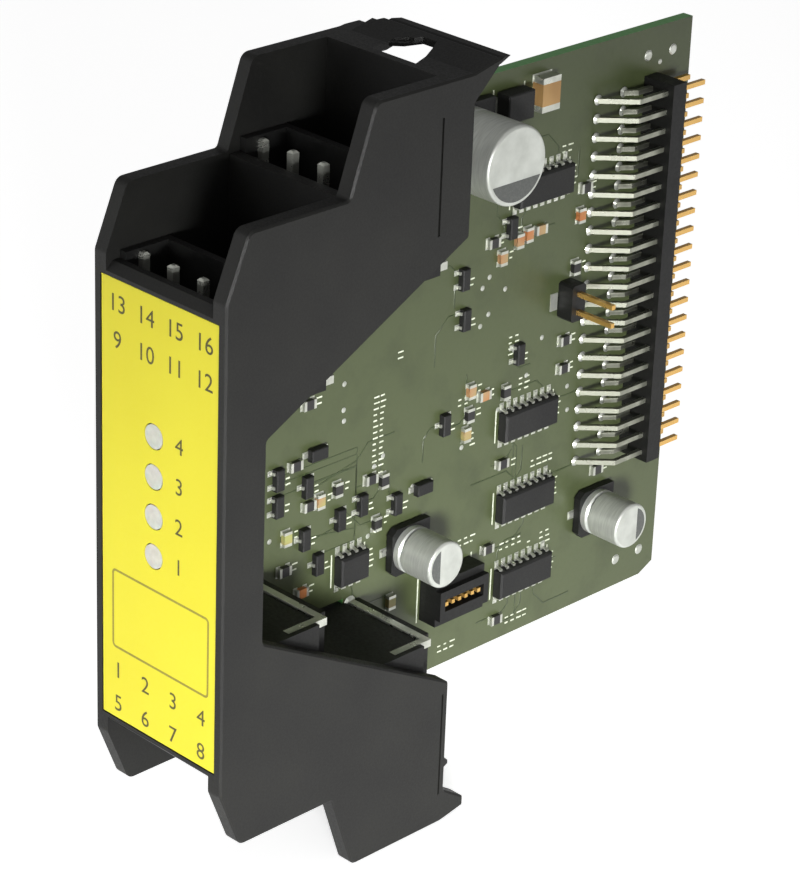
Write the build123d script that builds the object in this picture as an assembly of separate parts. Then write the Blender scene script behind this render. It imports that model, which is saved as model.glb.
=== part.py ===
from build123d import *
import math
import os

os.makedirs("parts", exist_ok=True)

# A plug-in safety control module: a stepped black housing one rail unit wide, with a
# printed front, four plug pockets and a populated board that stands out of its rear.
# Millimetres. While a piece is modelled, x runs across the module, y from the front
# face to the rear and z up from mid-height. The finished origin is the middle of the
# base.

# Housing
WIDTH = 22.5
HEIGHT = 99.0
WALL = 2.2
FRONT_HEIGHT = 62.0
FRONT_LEAN = 3.2
STEP_DROP = 10.7
STEP_END = 18.2
STEP_LEAN = 3.7
ROOF_END = 37.4
BACK = 37.8
LIP_REACH = 5.0
LIP_RISE = 1.3
ROOF_UNDERCUT = 3.6
FLOOR_UNDERCUT = 4.4
FLOOR_LIP_REACH = 3.6
FLOOR_LIP_RISE = 0.8
FLOOR_LIP_HEIGHT = 1.3
CUT_FRONT = 6.4
CUT_FRONT_HALF = 12.9
CUT_REAR_HALF = 29.5
NUB_HEIGHT = 8.2
NUB_REACH = 0.9
CORNER_R = 1.3
INNER_CORNER_R = 0.6
LIP_R = 0.4
EDGE_BREAK = 0.25

FRONT_WALL = 2.0
FRONT_WALL_HALF = 29.9
FRONT_BEVEL = 1.0
POCKET_WALL = 1.5
ROOF_THICK = 1.2
REAR_POCKET_WALL = 1.2
WINDOW_FRONT_WIDTH = 7.5
WINDOW_REAR_WIDTH = 4.2
WINDOW_SHIFT = 0.65
WINDOW_LENGTH = 5.1
WINDOW_CORNER = 1.25
GROOVE_WIDTH = 0.35
GROOVE_DEPTH = 0.25
GROOVE_INSET = 5.4
GROOVE_LENGTH = 14.4

# Front label and indicators
LABEL_WIDTH = 19.9
LABEL_HEIGHT = 56.6
LABEL_THICK = 0.25
LABEL_RECESS = 0.35
LABEL_CLEARANCE = 0.12
INDICATORS = 4
INDICATOR_PITCH = 5.08
INDICATOR_TOP = 11.1
INDICATOR_X = -0.9
LENS_R = 1.5
LENS_FLANGE_R = 2.0
LENS_FLANGE = 0.5
LED_R = 1.5
LED_LENGTH = 4.6
LED_RIM_R = 1.75
LED_RIM = 0.8
LED_LEAD = 0.5
LED_LEAD_PITCH = 2.54
LED_LEAD_RUN = 2.2
LED_GAP = 0.3

# Circuit board, standing along one side wall
BOARD_THICK = 1.6
BOARD_STANDOFF = 1.4
BOARD_FRONT = 3.6
BOARD_REAR = 96.2
BOARD_HALF = 40.3
BOARD_EDGE_GAP = 0.4
BOARD_CHAMFER = 2.6
RIB_WIDTH = 1.4
TAIL = 0.9

# Pluggable terminal headers, two above and two below
POLES = 4
POLE_PITCH = 5.08
HEADER_SIDE_GAP = 0.1
HEADER_FRONT = 2.0
HEADER_STEP_Y = 18.0
HEADER_INNER = 15.2
HEADER_STEP_Z = 9.4
HEADER_DEPTH = 15.5
HEADER_BLOCK = 9.3
SHROUD_DEPTH = 7.3
SHROUD_RISE = 6.4
SHROUD_WALL = 1.0
CONTACT = 1.0
CONTACT_Y = 2.35
CONTACT_TIP = 15.3
LEAD_Y = 17.0
LEAD_PITCH = 2.3
LEAD_INSET = 0.55
GROOVE_OPEN_Y = 11.2
GUARD_FRONT_X = -5.9
GUARD_OUTER_X = 6.6
GUARD_SLOT = 1.4
GUARD_FLANGE = 0.9
GUARD_RIB = 1.2
GUARD_RIB_X = 4.8

# Edge header at the rear of the board, two rows of square pins
EDGE_PINS = 21
EDGE_PITCH = 2.54
EDGE_PIN = 0.64
EDGE_TOP = 32.7
EDGE_BODY_FRONT = 87.4
EDGE_BODY_THICK = 2.5
EDGE_TIP = 94.7
EDGE_OUTER_BEND = 82.2
EDGE_OUTER_FOOT = 78.5
EDGE_INNER_BEND = 84.7
EDGE_INNER_FOOT = 83.4
EDGE_HOLE_R = 0.5

# Aluminium can capacitors: places are y, z on the board
LARGE_CAN_AT = (52.9, 32.7)
LARGE_CAN_R = 5.1
LARGE_CAN_HEIGHT = 10.3
SMALL_CANS_AT = ((46.5, -20.0), (82.1, -26.2))
SMALL_CAN_R = 3.15
SMALL_CAN_HEIGHT = 7.7
CAN_BASE = 1.3
CAN_BASE_MARGIN = 0.2
CAN_GROOVE = 0.3
CAN_EDGE_R = 0.4
CAN_LEAD_WIDTH = 0.9
CAN_LEAD_THICK = 0.25
CAN_LEAD_OUT = 0.8

# Small-outline chips: y, z, leads on each side
CHIPS_AT = (
    (68.0, -8.4, 8),
    (68.3, -20.3, 8),
    (68.6, -31.5, 8),
    (68.5, 23.8, 8),
    (36.6, -19.6, 4),
)
CHIP_LEAD_PITCH = 1.27
CHIP_END = 1.0
CHIP_WIDTH = 3.9
CHIP_SPAN = 6.0
CHIP_HEIGHT = 1.5
CHIP_STANDOFF = 0.15
CHIP_BEVEL = 0.25
CHIP_LEAD_WIDTH = 0.42
CHIP_LEAD_THICK = 0.2
CHIP_FOOT = 0.65

# Small transistors: y, z and the side that the single lead is on
TRANSISTORS_AT = (
    (55.0, 14.4, 1),
    (55.5, 8.8, 1),
    (52.7, -4.9, -1),
    (65.9, 1.2, 1),
    (24.0, -3.6, 1),
    (24.0, -7.2, 1),
    (28.9, -6.1, -1),
    (34.6, -12.4, -1),
    (28.6, -13.2, -1),
    (44.5, -13.4, 1),
    (38.4, -11.6, 1),
    (31.0, -17.4, -1),
    (63.3, 19.2, 1),
)
TRANSISTOR_LENGTH = 2.9
TRANSISTOR_WIDTH = 1.3
TRANSISTOR_SPAN = 2.5
TRANSISTOR_HEIGHT = 1.0
TRANSISTOR_LEAD_PITCH = 1.9
TRANSISTOR_LEAD_WIDTH = 0.42
TRANSISTOR_LEAD_THICK = 0.15
TRANSISTOR_FOOT = 0.4

# Chip resistors and capacitors: y, z and whether the chip lies along z
RESISTORS_AT = (
    (34.2, -8.2, True),
    (39.9, -8.6, False),
    (57.3, -5.0, True),
    (76.0, 10.5, True),
    (74.7, 0.6, False),
    (74.7, -3.4, False),
    (28.9, 4.9, False),
    (77.0, 21.3, False),
    (41.2, -15.2, True),
    (25.4, -16.6, False),
    (82.8, -20.6, False),
    (60.2, 17.9, False),
)
CERAMICS_AT = (
    (57.4, -1.7, True),
    (59.9, -3.0, False),
    (31.2, -8.9, True),
    (25.7, -12.2, True),
    (28.4, -20.6, False),
    (62.0, 15.4, True),
    (66.6, 17.4, True),
    (76.4, 17.6, True),
)
CHIP_PART_LENGTH = 2.0
CHIP_PART_WIDTH = 1.25
CHIP_PART_HEIGHT = 0.65
CHIP_PART_CAP = 0.4

# Power diode, with the large ceramic capacitor next to it
POWER_DIODE_AT = (61.9, 36.0)
POWER_DIODE_LENGTH = 4.6
POWER_DIODE_WIDTH = 3.7
POWER_DIODE_HEIGHT = 2.4
POWER_DIODE_TAB = 2.0
POWER_DIODE_TAB_THICK = 0.3
POWER_DIODE_TAB_OUT = 0.9
LARGE_CERAMIC_AT = (67.8, 36.3)
LARGE_CERAMIC_LENGTH = 4.5
LARGE_CERAMIC_WIDTH = 3.2
LARGE_CERAMIC_HEIGHT = 1.8
LARGE_CERAMIC_CAP = 0.8

# Small diodes: y, z
SMALL_DIODES_AT = ((49.1, -12.6), (30.4, -2.0))
SMALL_DIODE_LENGTH = 2.7
SMALL_DIODE_WIDTH = 1.6
SMALL_DIODE_HEIGHT = 1.1
SMALL_DIODE_TAB = 0.6
SMALL_DIODE_TAB_THICK = 0.2
SMALL_DIODE_TAB_OUT = 0.6

# Two-pin jumper header
JUMPER_AT = (74.5, 6.6)
JUMPER_PITCH = 2.54
JUMPER_BODY = 2.5
JUMPER_TIP = 8.5

# Service socket, a slotted block with a row of gilt contacts
SOCKET_AT = (54.3, -28.9)
SOCKET_LENGTH = 8.9
SOCKET_WIDTH = 6.4
SOCKET_HEIGHT = 3.8
SOCKET_RIM = 1.1
SOCKET_RIM_DROP = 0.9
SOCKET_SLOT = 1.7
SOCKET_SLOT_DEPTH = 2.2
SOCKET_SLOT_END = 0.9
SOCKET_CONTACTS = 6
SOCKET_CONTACT = 0.55
SOCKET_CONTACT_DROP = 0.3

# Sizes that follow from the ones above
HALF = HEIGHT / 2
INNER_HALF = WIDTH / 2 - WALL
STEP_Z = HALF - STEP_DROP
BOARD_BACK_X = -INNER_HALF + BOARD_STANDOFF
BOARD_X = BOARD_BACK_X + BOARD_THICK
TAIL_X = BOARD_BACK_X - TAIL
HEADER_FRONTS = (HEADER_FRONT, HEADER_FRONT + HEADER_STEP_Y)
HEADER_INNERS = (HEADER_INNER, HEADER_INNER + HEADER_STEP_Z)
BOARD_NOTCH_Y = tuple(y + HEADER_DEPTH + BOARD_EDGE_GAP for y in HEADER_FRONTS)
BOARD_NOTCH_Z = tuple(z - BOARD_EDGE_GAP for z in HEADER_INNERS)
POCKET_WALL_FRONT = HEADER_FRONTS[1] - HEADER_SIDE_GAP - POCKET_WALL
REAR_POCKET_WALL_FRONT = HEADER_FRONTS[1] + 13.5
WINDOW_FRONT = REAR_POCKET_WALL_FRONT + REAR_POCKET_WALL
ROW_INNER_X = BOARD_X + EDGE_PITCH / 2
ROW_OUTER_X = ROW_INNER_X + EDGE_PITCH
FAR = 200.0
ORIGIN = Location((0, -BOARD_REAR / 2, HALF))


def save(name, solids):
    """Moves one node's solids to the finished origin and writes them to its file."""
    placed = [ORIGIN * solid for solid in solids]
    label = Compound(children=placed) if len(placed) > 1 else placed[0]
    export_step(label, f"parts/{name}.step")


def block(x, y, z):
    """A box between two x, two y and two z values, given as pairs."""
    size = [abs(pair[1] - pair[0]) for pair in (x, y, z)]
    middle = [(pair[0] + pair[1]) / 2 for pair in (x, y, z)]
    return Pos(*middle) * Box(*size)


def strip_outline(points, thickness):
    """The closed, mitred outline of a strip whose middle follows the points."""
    left, right = [], []
    for i, (u, v) in enumerate(points):
        before = points[max(i - 1, 0)]
        after = points[min(i + 1, len(points) - 1)]
        entering = math.atan2(v - before[1], u - before[0])
        leaving = math.atan2(after[1] - v, after[0] - u)
        if i == 0:
            entering = leaving
        if i == len(points) - 1:
            leaving = entering
        turn = math.remainder(leaving - entering, math.tau)
        side = entering + turn / 2 + math.pi / 2
        reach = thickness / 2 / math.cos(turn / 2)
        left.append((u + reach * math.cos(side), v + reach * math.sin(side)))
        right.append((u - reach * math.cos(side), v - reach * math.sin(side)))
    return left + right[::-1]


def strip(plane, points, thickness, width):
    """A bent strip: the path lies in the plane and the width runs across it."""
    outline = Polyline(strip_outline(points, thickness), close=True)
    return extrude(plane * make_face(outline), width / 2, both=True).solid()


def mirrored(solids):
    """The same pieces on the other side of mid-height."""
    return [mirror(solid, about=Plane.XY) for solid in solids]


# Housing


def housing_outline():
    """The side view of the housing and the radius of each of its corners."""
    roof = [
        ((0, FRONT_HEIGHT / 2), CORNER_R),
        ((FRONT_LEAN, STEP_Z), CORNER_R),
        ((STEP_END, STEP_Z), INNER_CORNER_R),
        ((STEP_END + STEP_LEAN, HALF), CORNER_R),
        ((ROOF_END, HALF), 0),
        ((BACK + LIP_REACH, HALF + LIP_RISE), LIP_R),
        ((BACK, HALF - ROOF_UNDERCUT), INNER_CORNER_R),
    ]
    cut_out = [
        ((BACK, CUT_REAR_HALF), INNER_CORNER_R),
        ((CUT_FRONT, CUT_FRONT_HALF), INNER_CORNER_R),
        ((CUT_FRONT, -CUT_FRONT_HALF), INNER_CORNER_R),
        ((BACK, -CUT_REAR_HALF), INNER_CORNER_R),
    ]
    nub_z = -HALF + NUB_HEIGHT
    floor = [
        ((BACK, nub_z + NUB_REACH), 0),
        ((BACK + NUB_REACH, nub_z), LIP_R),
        ((BACK, nub_z - NUB_REACH / 2), 0),
        ((BACK, -HALF + FLOOR_UNDERCUT), INNER_CORNER_R),
        ((BACK + FLOOR_LIP_REACH, -HALF + FLOOR_LIP_HEIGHT + FLOOR_LIP_RISE), LIP_R),
        ((BACK + FLOOR_LIP_REACH, -HALF + FLOOR_LIP_RISE), LIP_R),
        ((ROOF_END, -HALF), 0),
        ((STEP_END + STEP_LEAN, -HALF), CORNER_R),
        ((STEP_END, -STEP_Z), INNER_CORNER_R),
        ((FRONT_LEAN, -STEP_Z), CORNER_R),
        ((0, -FRONT_HEIGHT / 2), CORNER_R),
    ]
    corners = roof + cut_out + floor
    return [point for point, radius in corners], [radius for point, radius in corners]


def side_wall(side, face):
    """One side wall, with its outer edges broken."""
    wall = extrude(Plane.YZ * face, WALL)
    wall = Pos(INNER_HALF, 0, 0) * wall if side > 0 else Pos(-WIDTH / 2, 0, 0) * wall
    outer = wall.faces().sort_by(Axis.X)[-1 if side > 0 else 0]
    return chamfer(outer.edges(), EDGE_BREAK)


def cross_walls(prism):
    """The walls between the sides: front, pocket walls, roof and floor."""
    inner = (-INNER_HALF, INNER_HALF)
    half = FRONT_WALL_HALF
    front = Polyline(
        (0, -half + FRONT_BEVEL), (0, half - FRONT_BEVEL), (FRONT_BEVEL, half),
        (FRONT_WALL, half), (FRONT_WALL, -half), (FRONT_BEVEL, -half), close=True,
    )
    walls = [extrude(Plane.YZ * make_face(front), INNER_HALF, both=True)]
    middle_y = (POCKET_WALL_FRONT, POCKET_WALL_FRONT + POCKET_WALL)
    rear_y = (REAR_POCKET_WALL_FRONT, WINDOW_FRONT)
    above_rear_header = HEADER_INNERS[1] + HEADER_BLOCK + HEADER_SIDE_GAP
    for side in (1, -1):
        middle_z = (side * HEADER_INNERS[1], side * (STEP_Z - EDGE_BREAK))
        rear_z = (side * above_rear_header, side * HALF)
        plate_z = (side * (HALF - ROOF_THICK), side * (HALF + LIP_RISE))
        walls.append(block(inner, middle_y, middle_z))
        walls.append(block(inner, rear_y, rear_z))
        walls.append(prism & block(inner, (REAR_POCKET_WALL_FRONT, FAR), plate_z))
    return walls


def windows():
    """The tapered latch windows in the roof and the floor, right through both."""
    rear = WINDOW_FRONT + WINDOW_LENGTH
    left = WINDOW_SHIFT - WINDOW_FRONT_WIDTH / 2
    right = WINDOW_SHIFT + WINDOW_FRONT_WIDTH / 2
    outline = Polyline(
        (left, WINDOW_FRONT), (right, WINDOW_FRONT),
        (left + WINDOW_CORNER + WINDOW_REAR_WIDTH, rear), (left + WINDOW_CORNER, rear),
        (left, rear - WINDOW_CORNER), close=True,
    )
    return extrude(make_face(outline), FAR, both=True)


def board_ribs():
    """Ribs on one side wall that the back of the board lies on."""
    x = (-INNER_HALF - WALL / 2, BOARD_BACK_X)
    slope = (CUT_REAR_HALF - CUT_FRONT_HALF) / (BACK - CUT_FRONT)
    middle_y = BOARD_NOTCH_Y[0] + 2 * RIB_WIDTH
    middle_start = CUT_FRONT_HALF + slope * (middle_y + RIB_WIDTH - CUT_FRONT)
    rear_start = HEADER_INNERS[1] + LEAD_INSET + (POLES - 1) * LEAD_PITCH + CONTACT
    ribs = []
    for side in (1, -1):
        front_z = (side * (BOARD_NOTCH_Z[0] - RIB_WIDTH), side * BOARD_NOTCH_Z[0])
        middle_z = (side * middle_start, side * BOARD_NOTCH_Z[1])
        rear_z = (side * rear_start, side * BOARD_HALF)
        ribs.append(block(x, (FRONT_WALL / 2, CUT_FRONT + RIB_WIDTH / 2), front_z))
        ribs.append(block(x, (middle_y, middle_y + RIB_WIDTH), middle_z))
        ribs.append(block(x, (BACK - RIB_WIDTH, BACK - EDGE_BREAK), rear_z))
    return ribs


def grip_grooves():
    """The shallow upright grooves near the rear edge of both side walls."""
    cuts = []
    y = (BACK - GROOVE_INSET, BACK - GROOVE_INSET + GROOVE_WIDTH)
    for side_x in (1, -1):
        x = (side_x * (WIDTH / 2 - GROOVE_DEPTH), side_x * WIDTH)
        for side_z in (1, -1):
            start = CUT_REAR_HALF + RIB_WIDTH
            cuts.append(block(x, y, (side_z * start, side_z * (start + GROOVE_LENGTH))))
    return cuts


def indicator_heights():
    """The height of each indicator, from the top one down."""
    return [INDICATOR_TOP - i * INDICATOR_PITCH for i in range(INDICATORS)]


def indicator_bores(radius):
    """Round bores through the front for the indicators."""
    bore = Rot(90, 0, 0) * Cylinder(radius, 4 * FRONT_WALL)
    return [Pos(INDICATOR_X, 0, z) * bore for z in indicator_heights()]


def housing():
    """The whole housing as one moulding."""
    points, radii = housing_outline()
    face = make_face(FilletPolyline(*points, radius=radii, close=True))
    prism = extrude(Plane.YZ * face, WIDTH / 2, both=True)
    body = side_wall(1, face) + side_wall(-1, face)
    body += cross_walls(prism) + board_ribs()
    recess_x = LABEL_WIDTH / 2 + LABEL_CLEARANCE
    recess_z = LABEL_HEIGHT / 2 + LABEL_CLEARANCE
    recess = block((-recess_x, recess_x), (-1, LABEL_RECESS), (-recess_z, recess_z))
    body -= [windows(), recess] + grip_grooves()
    body -= indicator_bores(LENS_R + LABEL_CLEARANCE)
    return body.solid()


# Front label and indicators


def front_label():
    """The thin printed label in its recess, with a hole for each lens."""
    plate = block(
        (-LABEL_WIDTH / 2, LABEL_WIDTH / 2),
        (LABEL_RECESS - LABEL_THICK, LABEL_RECESS),
        (-LABEL_HEIGHT / 2, LABEL_HEIGHT / 2),
    )
    return (plate - indicator_bores(LENS_R + LABEL_CLEARANCE)).solid()


def lens(z):
    """One clear lens, flanged against the inside of the front wall."""
    front = LABEL_RECESS - LABEL_THICK
    length = FRONT_WALL - front
    rod = Pos(0, front + length / 2, 0) * Rot(90, 0, 0) * Cylinder(LENS_R, length)
    flange = Rot(90, 0, 0) * Cylinder(LENS_FLANGE_R, LENS_FLANGE)
    flange = Pos(0, FRONT_WALL + LENS_FLANGE / 2, 0) * flange
    return Pos(INDICATOR_X, 0, z) * (rod + flange).solid()


def led(z):
    """One domed light-emitting diode behind its lens."""
    nose = FRONT_WALL + LENS_FLANGE + LED_GAP
    profile = [
        Line((0, 0), (0, LED_LENGTH)),
        Line((0, LED_LENGTH), (LED_RIM_R, LED_LENGTH)),
        Line((LED_RIM_R, LED_LENGTH), (LED_RIM_R, LED_LENGTH - LED_RIM)),
        Line((LED_RIM_R, LED_LENGTH - LED_RIM), (LED_R, LED_LENGTH - LED_RIM)),
        Line((LED_R, LED_LENGTH - LED_RIM), (LED_R, LED_R)),
        RadiusArc((LED_R, LED_R), (0, 0), LED_R),
    ]
    body = revolve(make_face(profile), Axis.Y)
    return Pos(INDICATOR_X, nose, z) * body.solid()


def led_leads(z):
    """The two bent leads of one light-emitting diode, through the board."""
    start = FRONT_WALL + LENS_FLANGE + LED_GAP + LED_LENGTH
    turn = start + LED_LEAD_RUN
    path = [(INDICATOR_X, start), (INDICATOR_X, turn), (TAIL_X, turn)]
    lead = strip(Plane.XY, path, LED_LEAD, LED_LEAD)
    return [Pos(0, 0, z + i * LED_LEAD_PITCH / 2) * lead for i in (-1, 1)]


# Circuit board


def board_holes():
    """Round holes for every lead that passes through the board: y, z, radius."""
    holes = []
    led_y = FRONT_WALL + LENS_FLANGE + LED_GAP + LED_LENGTH + LED_LEAD_RUN
    for z in indicator_heights():
        holes += [(led_y, z + i * LED_LEAD_PITCH / 2, LED_LEAD) for i in (-1, 1)]
    for y, inner in zip(HEADER_FRONTS, HEADER_INNERS):
        for i in range(POLES):
            z = inner + LEAD_INSET + i * LEAD_PITCH
            holes += [(y + LEAD_Y, side * z, CONTACT * 0.75) for side in (1, -1)]
    for i in range(EDGE_PINS):
        z = EDGE_TOP - i * EDGE_PITCH
        holes += [(EDGE_OUTER_FOOT, z, EDGE_HOLE_R), (EDGE_INNER_FOOT, z, EDGE_HOLE_R)]
    for i in (-1, 1):
        holes.append((JUMPER_AT[0], JUMPER_AT[1] + i * JUMPER_PITCH / 2, EDGE_HOLE_R))
    return holes


def circuit_board():
    """The board, stepped in front to clear the terminal headers."""
    near, far = BOARD_NOTCH_Y
    low, high = BOARD_NOTCH_Z
    half = BOARD_HALF
    outline = Polyline(
        (BOARD_FRONT, -low), (near, -low), (near, -high), (far, -high), (far, -half),
        (BOARD_REAR - BOARD_CHAMFER, -half), (BOARD_REAR, -half + BOARD_CHAMFER / 2),
        (BOARD_REAR, half), (far, half), (far, high), (near, high), (near, low),
        (BOARD_FRONT, low), close=True,
    )
    face = make_face(outline)
    face -= [Pos(y, z) * Circle(radius) for y, z, radius in board_holes()]
    board = extrude(Plane.YZ * face, BOARD_THICK)
    return (Pos(BOARD_BACK_X, 0, 0) * board).solid()


# Terminal headers


def pole_x(pole):
    """The x of a pole, counted from the board side."""
    return (pole - (POLES - 1) / 2) * POLE_PITCH


def lead_z(pole, inner):
    """The height of a pole's lead: the pole furthest from the board is innermost."""
    return inner + LEAD_INSET + (POLES - 1 - pole) * LEAD_PITCH


def terminal_pins(front, inner):
    """The contacts of one header above mid-height, with their nested leads."""
    pins = []
    for pole in range(POLES):
        x = pole_x(pole)
        z = lead_z(pole, inner)
        y = front + CONTACT_Y
        run_x = max(x, BOARD_X + 1.5 * CONTACT)
        path = [(run_x, y), (run_x, front + LEAD_Y), (TAIL_X, front + LEAD_Y)]
        if run_x > x:
            path.insert(0, (x, y))
        lead = Pos(0, 0, z) * strip(Plane.XY, path, CONTACT, CONTACT)
        edge = CONTACT / 2
        tip = inner + CONTACT_TIP
        contact = block((x - edge, x + edge), (y - edge, y + edge), (z - edge, tip))
        tip_edges = contact.faces().sort_by(Axis.Z)[-1].edges()
        contact = chamfer(tip_edges, CONTACT / 4)
        pins.append((lead + contact).solid())
    return pins


def terminal_body(front, inner):
    """One header above mid-height: block, shroud, and the guard of its leads."""
    half = INNER_HALF - HEADER_SIDE_GAP
    top = inner + HEADER_BLOCK
    rear = front + HEADER_DEPTH
    lead_y = front + LEAD_Y
    slot = (lead_y - GUARD_SLOT / 2, lead_y + GUARD_SLOT / 2)
    flange_end = slot[1] + GUARD_FLANGE
    guard_x = (GUARD_FRONT_X, GUARD_OUTER_X)
    guard_z = (inner + CONTACT / 4, top)
    body = block((-half, half), (front, rear), (inner, top))
    body += block(guard_x, (rear, flange_end), guard_z)
    shroud_top = top + SHROUD_RISE
    shroud = block((-half, half), (front, front + SHROUD_DEPTH), (top, shroud_top))
    shroud -= block(
        (-half + SHROUD_WALL, half - SHROUD_WALL),
        (front - 1, front + SHROUD_DEPTH - SHROUD_WALL),
        (top, shroud_top),
    )
    body += shroud
    body -= block(guard_x, slot, (inner, top - SHROUD_WALL))
    outer_x = pole_x(POLES - 1)
    reach = CONTACT * 0.6
    body -= block(
        (outer_x - reach, outer_x + reach),
        (front + GROOVE_OPEN_Y, rear),
        (inner, inner + LEAD_INSET + reach),
    )
    rib_x = (GUARD_RIB_X - GUARD_RIB / 2, GUARD_RIB_X + GUARD_RIB / 2)
    body += block(rib_x, (rear, flange_end), (inner + CONTACT / 4, inner + LEAD_PITCH))
    return (body - terminal_pins(front, inner)).solid()


# Edge header


def edge_heights():
    """The height of each pin of the edge header."""
    return [EDGE_TOP - i * EDGE_PITCH for i in range(EDGE_PINS)]


def edge_pins(row_x, bend, foot):
    """One row of pins: tip, straight run, slanting lead and tail in the board."""
    entry_x = BOARD_X + EDGE_PIN / 2
    path = [(row_x, EDGE_TIP), (row_x, bend), (entry_x, foot), (TAIL_X, foot)]
    pin = strip(Plane.XY, path, EDGE_PIN, EDGE_PIN)
    return [Pos(0, 0, z) * pin for z in edge_heights()]


def edge_body(rows):
    """The insulator that carries both rows of pins."""
    y = (EDGE_BODY_FRONT, EDGE_BODY_FRONT + EDGE_BODY_THICK)
    top = EDGE_TOP + EDGE_PITCH / 2
    z = (top - EDGE_PINS * EDGE_PITCH, top)
    body = block((BOARD_X, BOARD_X + 2 * EDGE_PITCH), y, z)
    half = EDGE_PIN / 2
    for row_x in rows:
        for height in edge_heights():
            body -= block((row_x - half, row_x + half), y, (height - half, height + half))
    return body.solid()


# Parts on the board


def on_board(y, z, solid):
    """Places a solid that was built with x up from the face of the board."""
    return Pos(BOARD_X, y, z) * solid


def can_base(radius):
    """The square plastic base of a capacitor, with two corners cut."""
    half = radius + CAN_BASE_MARGIN
    base = block((CAN_LEAD_THICK, CAN_BASE), (-half, half), (-half, half))
    front = base.edges().filter_by(Axis.X).group_by(Axis.Y)[0]
    return chamfer(front, radius / 4).solid()


def can(radius, height):
    """The aluminium can: rolled groove above the base and a rounded top edge."""
    groove = CAN_BASE + radius * 0.35
    waist = radius - CAN_GROOVE
    profile = [
        Polyline(
            (CAN_BASE, 0), (CAN_BASE, radius), (groove - CAN_GROOVE, radius),
            (groove, waist), (groove + CAN_GROOVE, radius), (height - CAN_EDGE_R, radius),
        ),
        RadiusArc((height - CAN_EDGE_R, radius), (height, radius - CAN_EDGE_R), CAN_EDGE_R),
        Polyline((height, radius - CAN_EDGE_R), (height, 0), (CAN_BASE, 0)),
    ]
    return revolve(make_face(profile), Axis.X).solid()


def can_leads(radius):
    """The two flat leads that lie under a capacitor's base."""
    half = radius + CAN_BASE_MARGIN + CAN_LEAD_OUT
    lead = block((0, CAN_LEAD_THICK), (CAN_LEAD_WIDTH, half), (-CAN_LEAD_WIDTH / 2, CAN_LEAD_WIDTH / 2))
    return [lead, mirror(lead, about=Plane.XZ)]


def gull_lead(start, span, height, foot, thick, width):
    """A gull-wing lead on the +z side, from the body's flank to its foot."""
    knee = start + (span - foot - start) / 2
    path = [
        (height, start), (height, knee), (thick / 2, span - foot), (thick / 2, span),
    ]
    return strip(Plane.XZ, path, thick, width)


def chip_body(leads):
    """A small-outline chip body with its upper edges bevelled."""
    half = (leads - 1) * CHIP_LEAD_PITCH / 2 + CHIP_END / 2
    x = (CHIP_STANDOFF, CHIP_STANDOFF + CHIP_HEIGHT)
    body = block(x, (-half, half), (-CHIP_WIDTH / 2, CHIP_WIDTH / 2))
    return chamfer(body.faces().sort_by(Axis.X)[-1].edges(), CHIP_BEVEL).solid()


def chip_leads(leads):
    """Both rows of gull-wing leads of a chip."""
    height = CHIP_STANDOFF + CHIP_HEIGHT / 2
    lead = gull_lead(
        CHIP_WIDTH / 2, CHIP_SPAN / 2, height, CHIP_FOOT, CHIP_LEAD_THICK, CHIP_LEAD_WIDTH
    )
    start = -(leads - 1) * CHIP_LEAD_PITCH / 2
    row = [Pos(0, start + i * CHIP_LEAD_PITCH, 0) * lead for i in range(leads)]
    return row + mirrored(row)


def transistor_body():
    """The body of a small three-lead transistor, long side along z."""
    half = TRANSISTOR_LENGTH / 2
    x = (TRANSISTOR_LEAD_THICK / 2, TRANSISTOR_HEIGHT)
    body = block(x, (-TRANSISTOR_WIDTH / 2, TRANSISTOR_WIDTH / 2), (-half, half))
    return chamfer(body.faces().sort_by(Axis.X)[-1].edges(), CHIP_BEVEL / 2).solid()


def transistor_leads(single_side):
    """Three gull-wing leads: one on the named side of y and two on the other."""
    lead = gull_lead(
        TRANSISTOR_WIDTH / 2, TRANSISTOR_SPAN / 2, TRANSISTOR_HEIGHT / 2,
        TRANSISTOR_FOOT, TRANSISTOR_LEAD_THICK, TRANSISTOR_LEAD_WIDTH,
    )
    lead = Rot(-90, 0, 0) * lead
    other = mirror(lead, about=Plane.XZ)
    single, pair = (lead, other) if single_side > 0 else (other, lead)
    offset = TRANSISTOR_LEAD_PITCH / 2
    return [single, Pos(0, 0, offset) * pair, Pos(0, 0, -offset) * pair]


def chip_part(length, width, height, cap, along_z):
    """The body of a leadless chip and its two end caps."""
    half = length / 2
    body = block((0, height), (-half + cap, half - cap), (-width / 2, width / 2))
    end = block((0, height), (half - cap, half), (-width / 2, width / 2))
    caps = [end, mirror(end, about=Plane.XZ)]
    turn = Rot(90 if along_z else 0, 0, 0)
    return turn * body, [turn * piece for piece in caps]


def tabbed_diode(length, width, height, tab, thick, out):
    """A moulded diode body and the two flat tabs that fold out from under it."""
    body = block((thick, height), (-length / 2, length / 2), (-width / 2, width / 2))
    body = chamfer(body.faces().sort_by(Axis.X)[-1].edges(), thick / 2).solid()
    foot = block((0, thick), (length / 4, length / 2 + out), (-tab / 2, tab / 2))
    return body, [foot, mirror(foot, about=Plane.XZ)]


def jumper_pins():
    """The two long pins of the jumper header."""
    half = EDGE_PIN / 2
    pin = block((TAIL_X - BOARD_X, JUMPER_TIP), (-half, half), (-half, half))
    return [Pos(0, 0, i * JUMPER_PITCH / 2) * pin for i in (-1, 1)]


def jumper_body():
    """The insulator of the jumper header."""
    half = JUMPER_PITCH / 2
    body = block((0, JUMPER_BODY), (-half, half), (-2 * half, 2 * half))
    body = chamfer(body.edges().filter_by(Axis.X), half / 4)
    return (body - jumper_pins()).solid()


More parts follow.
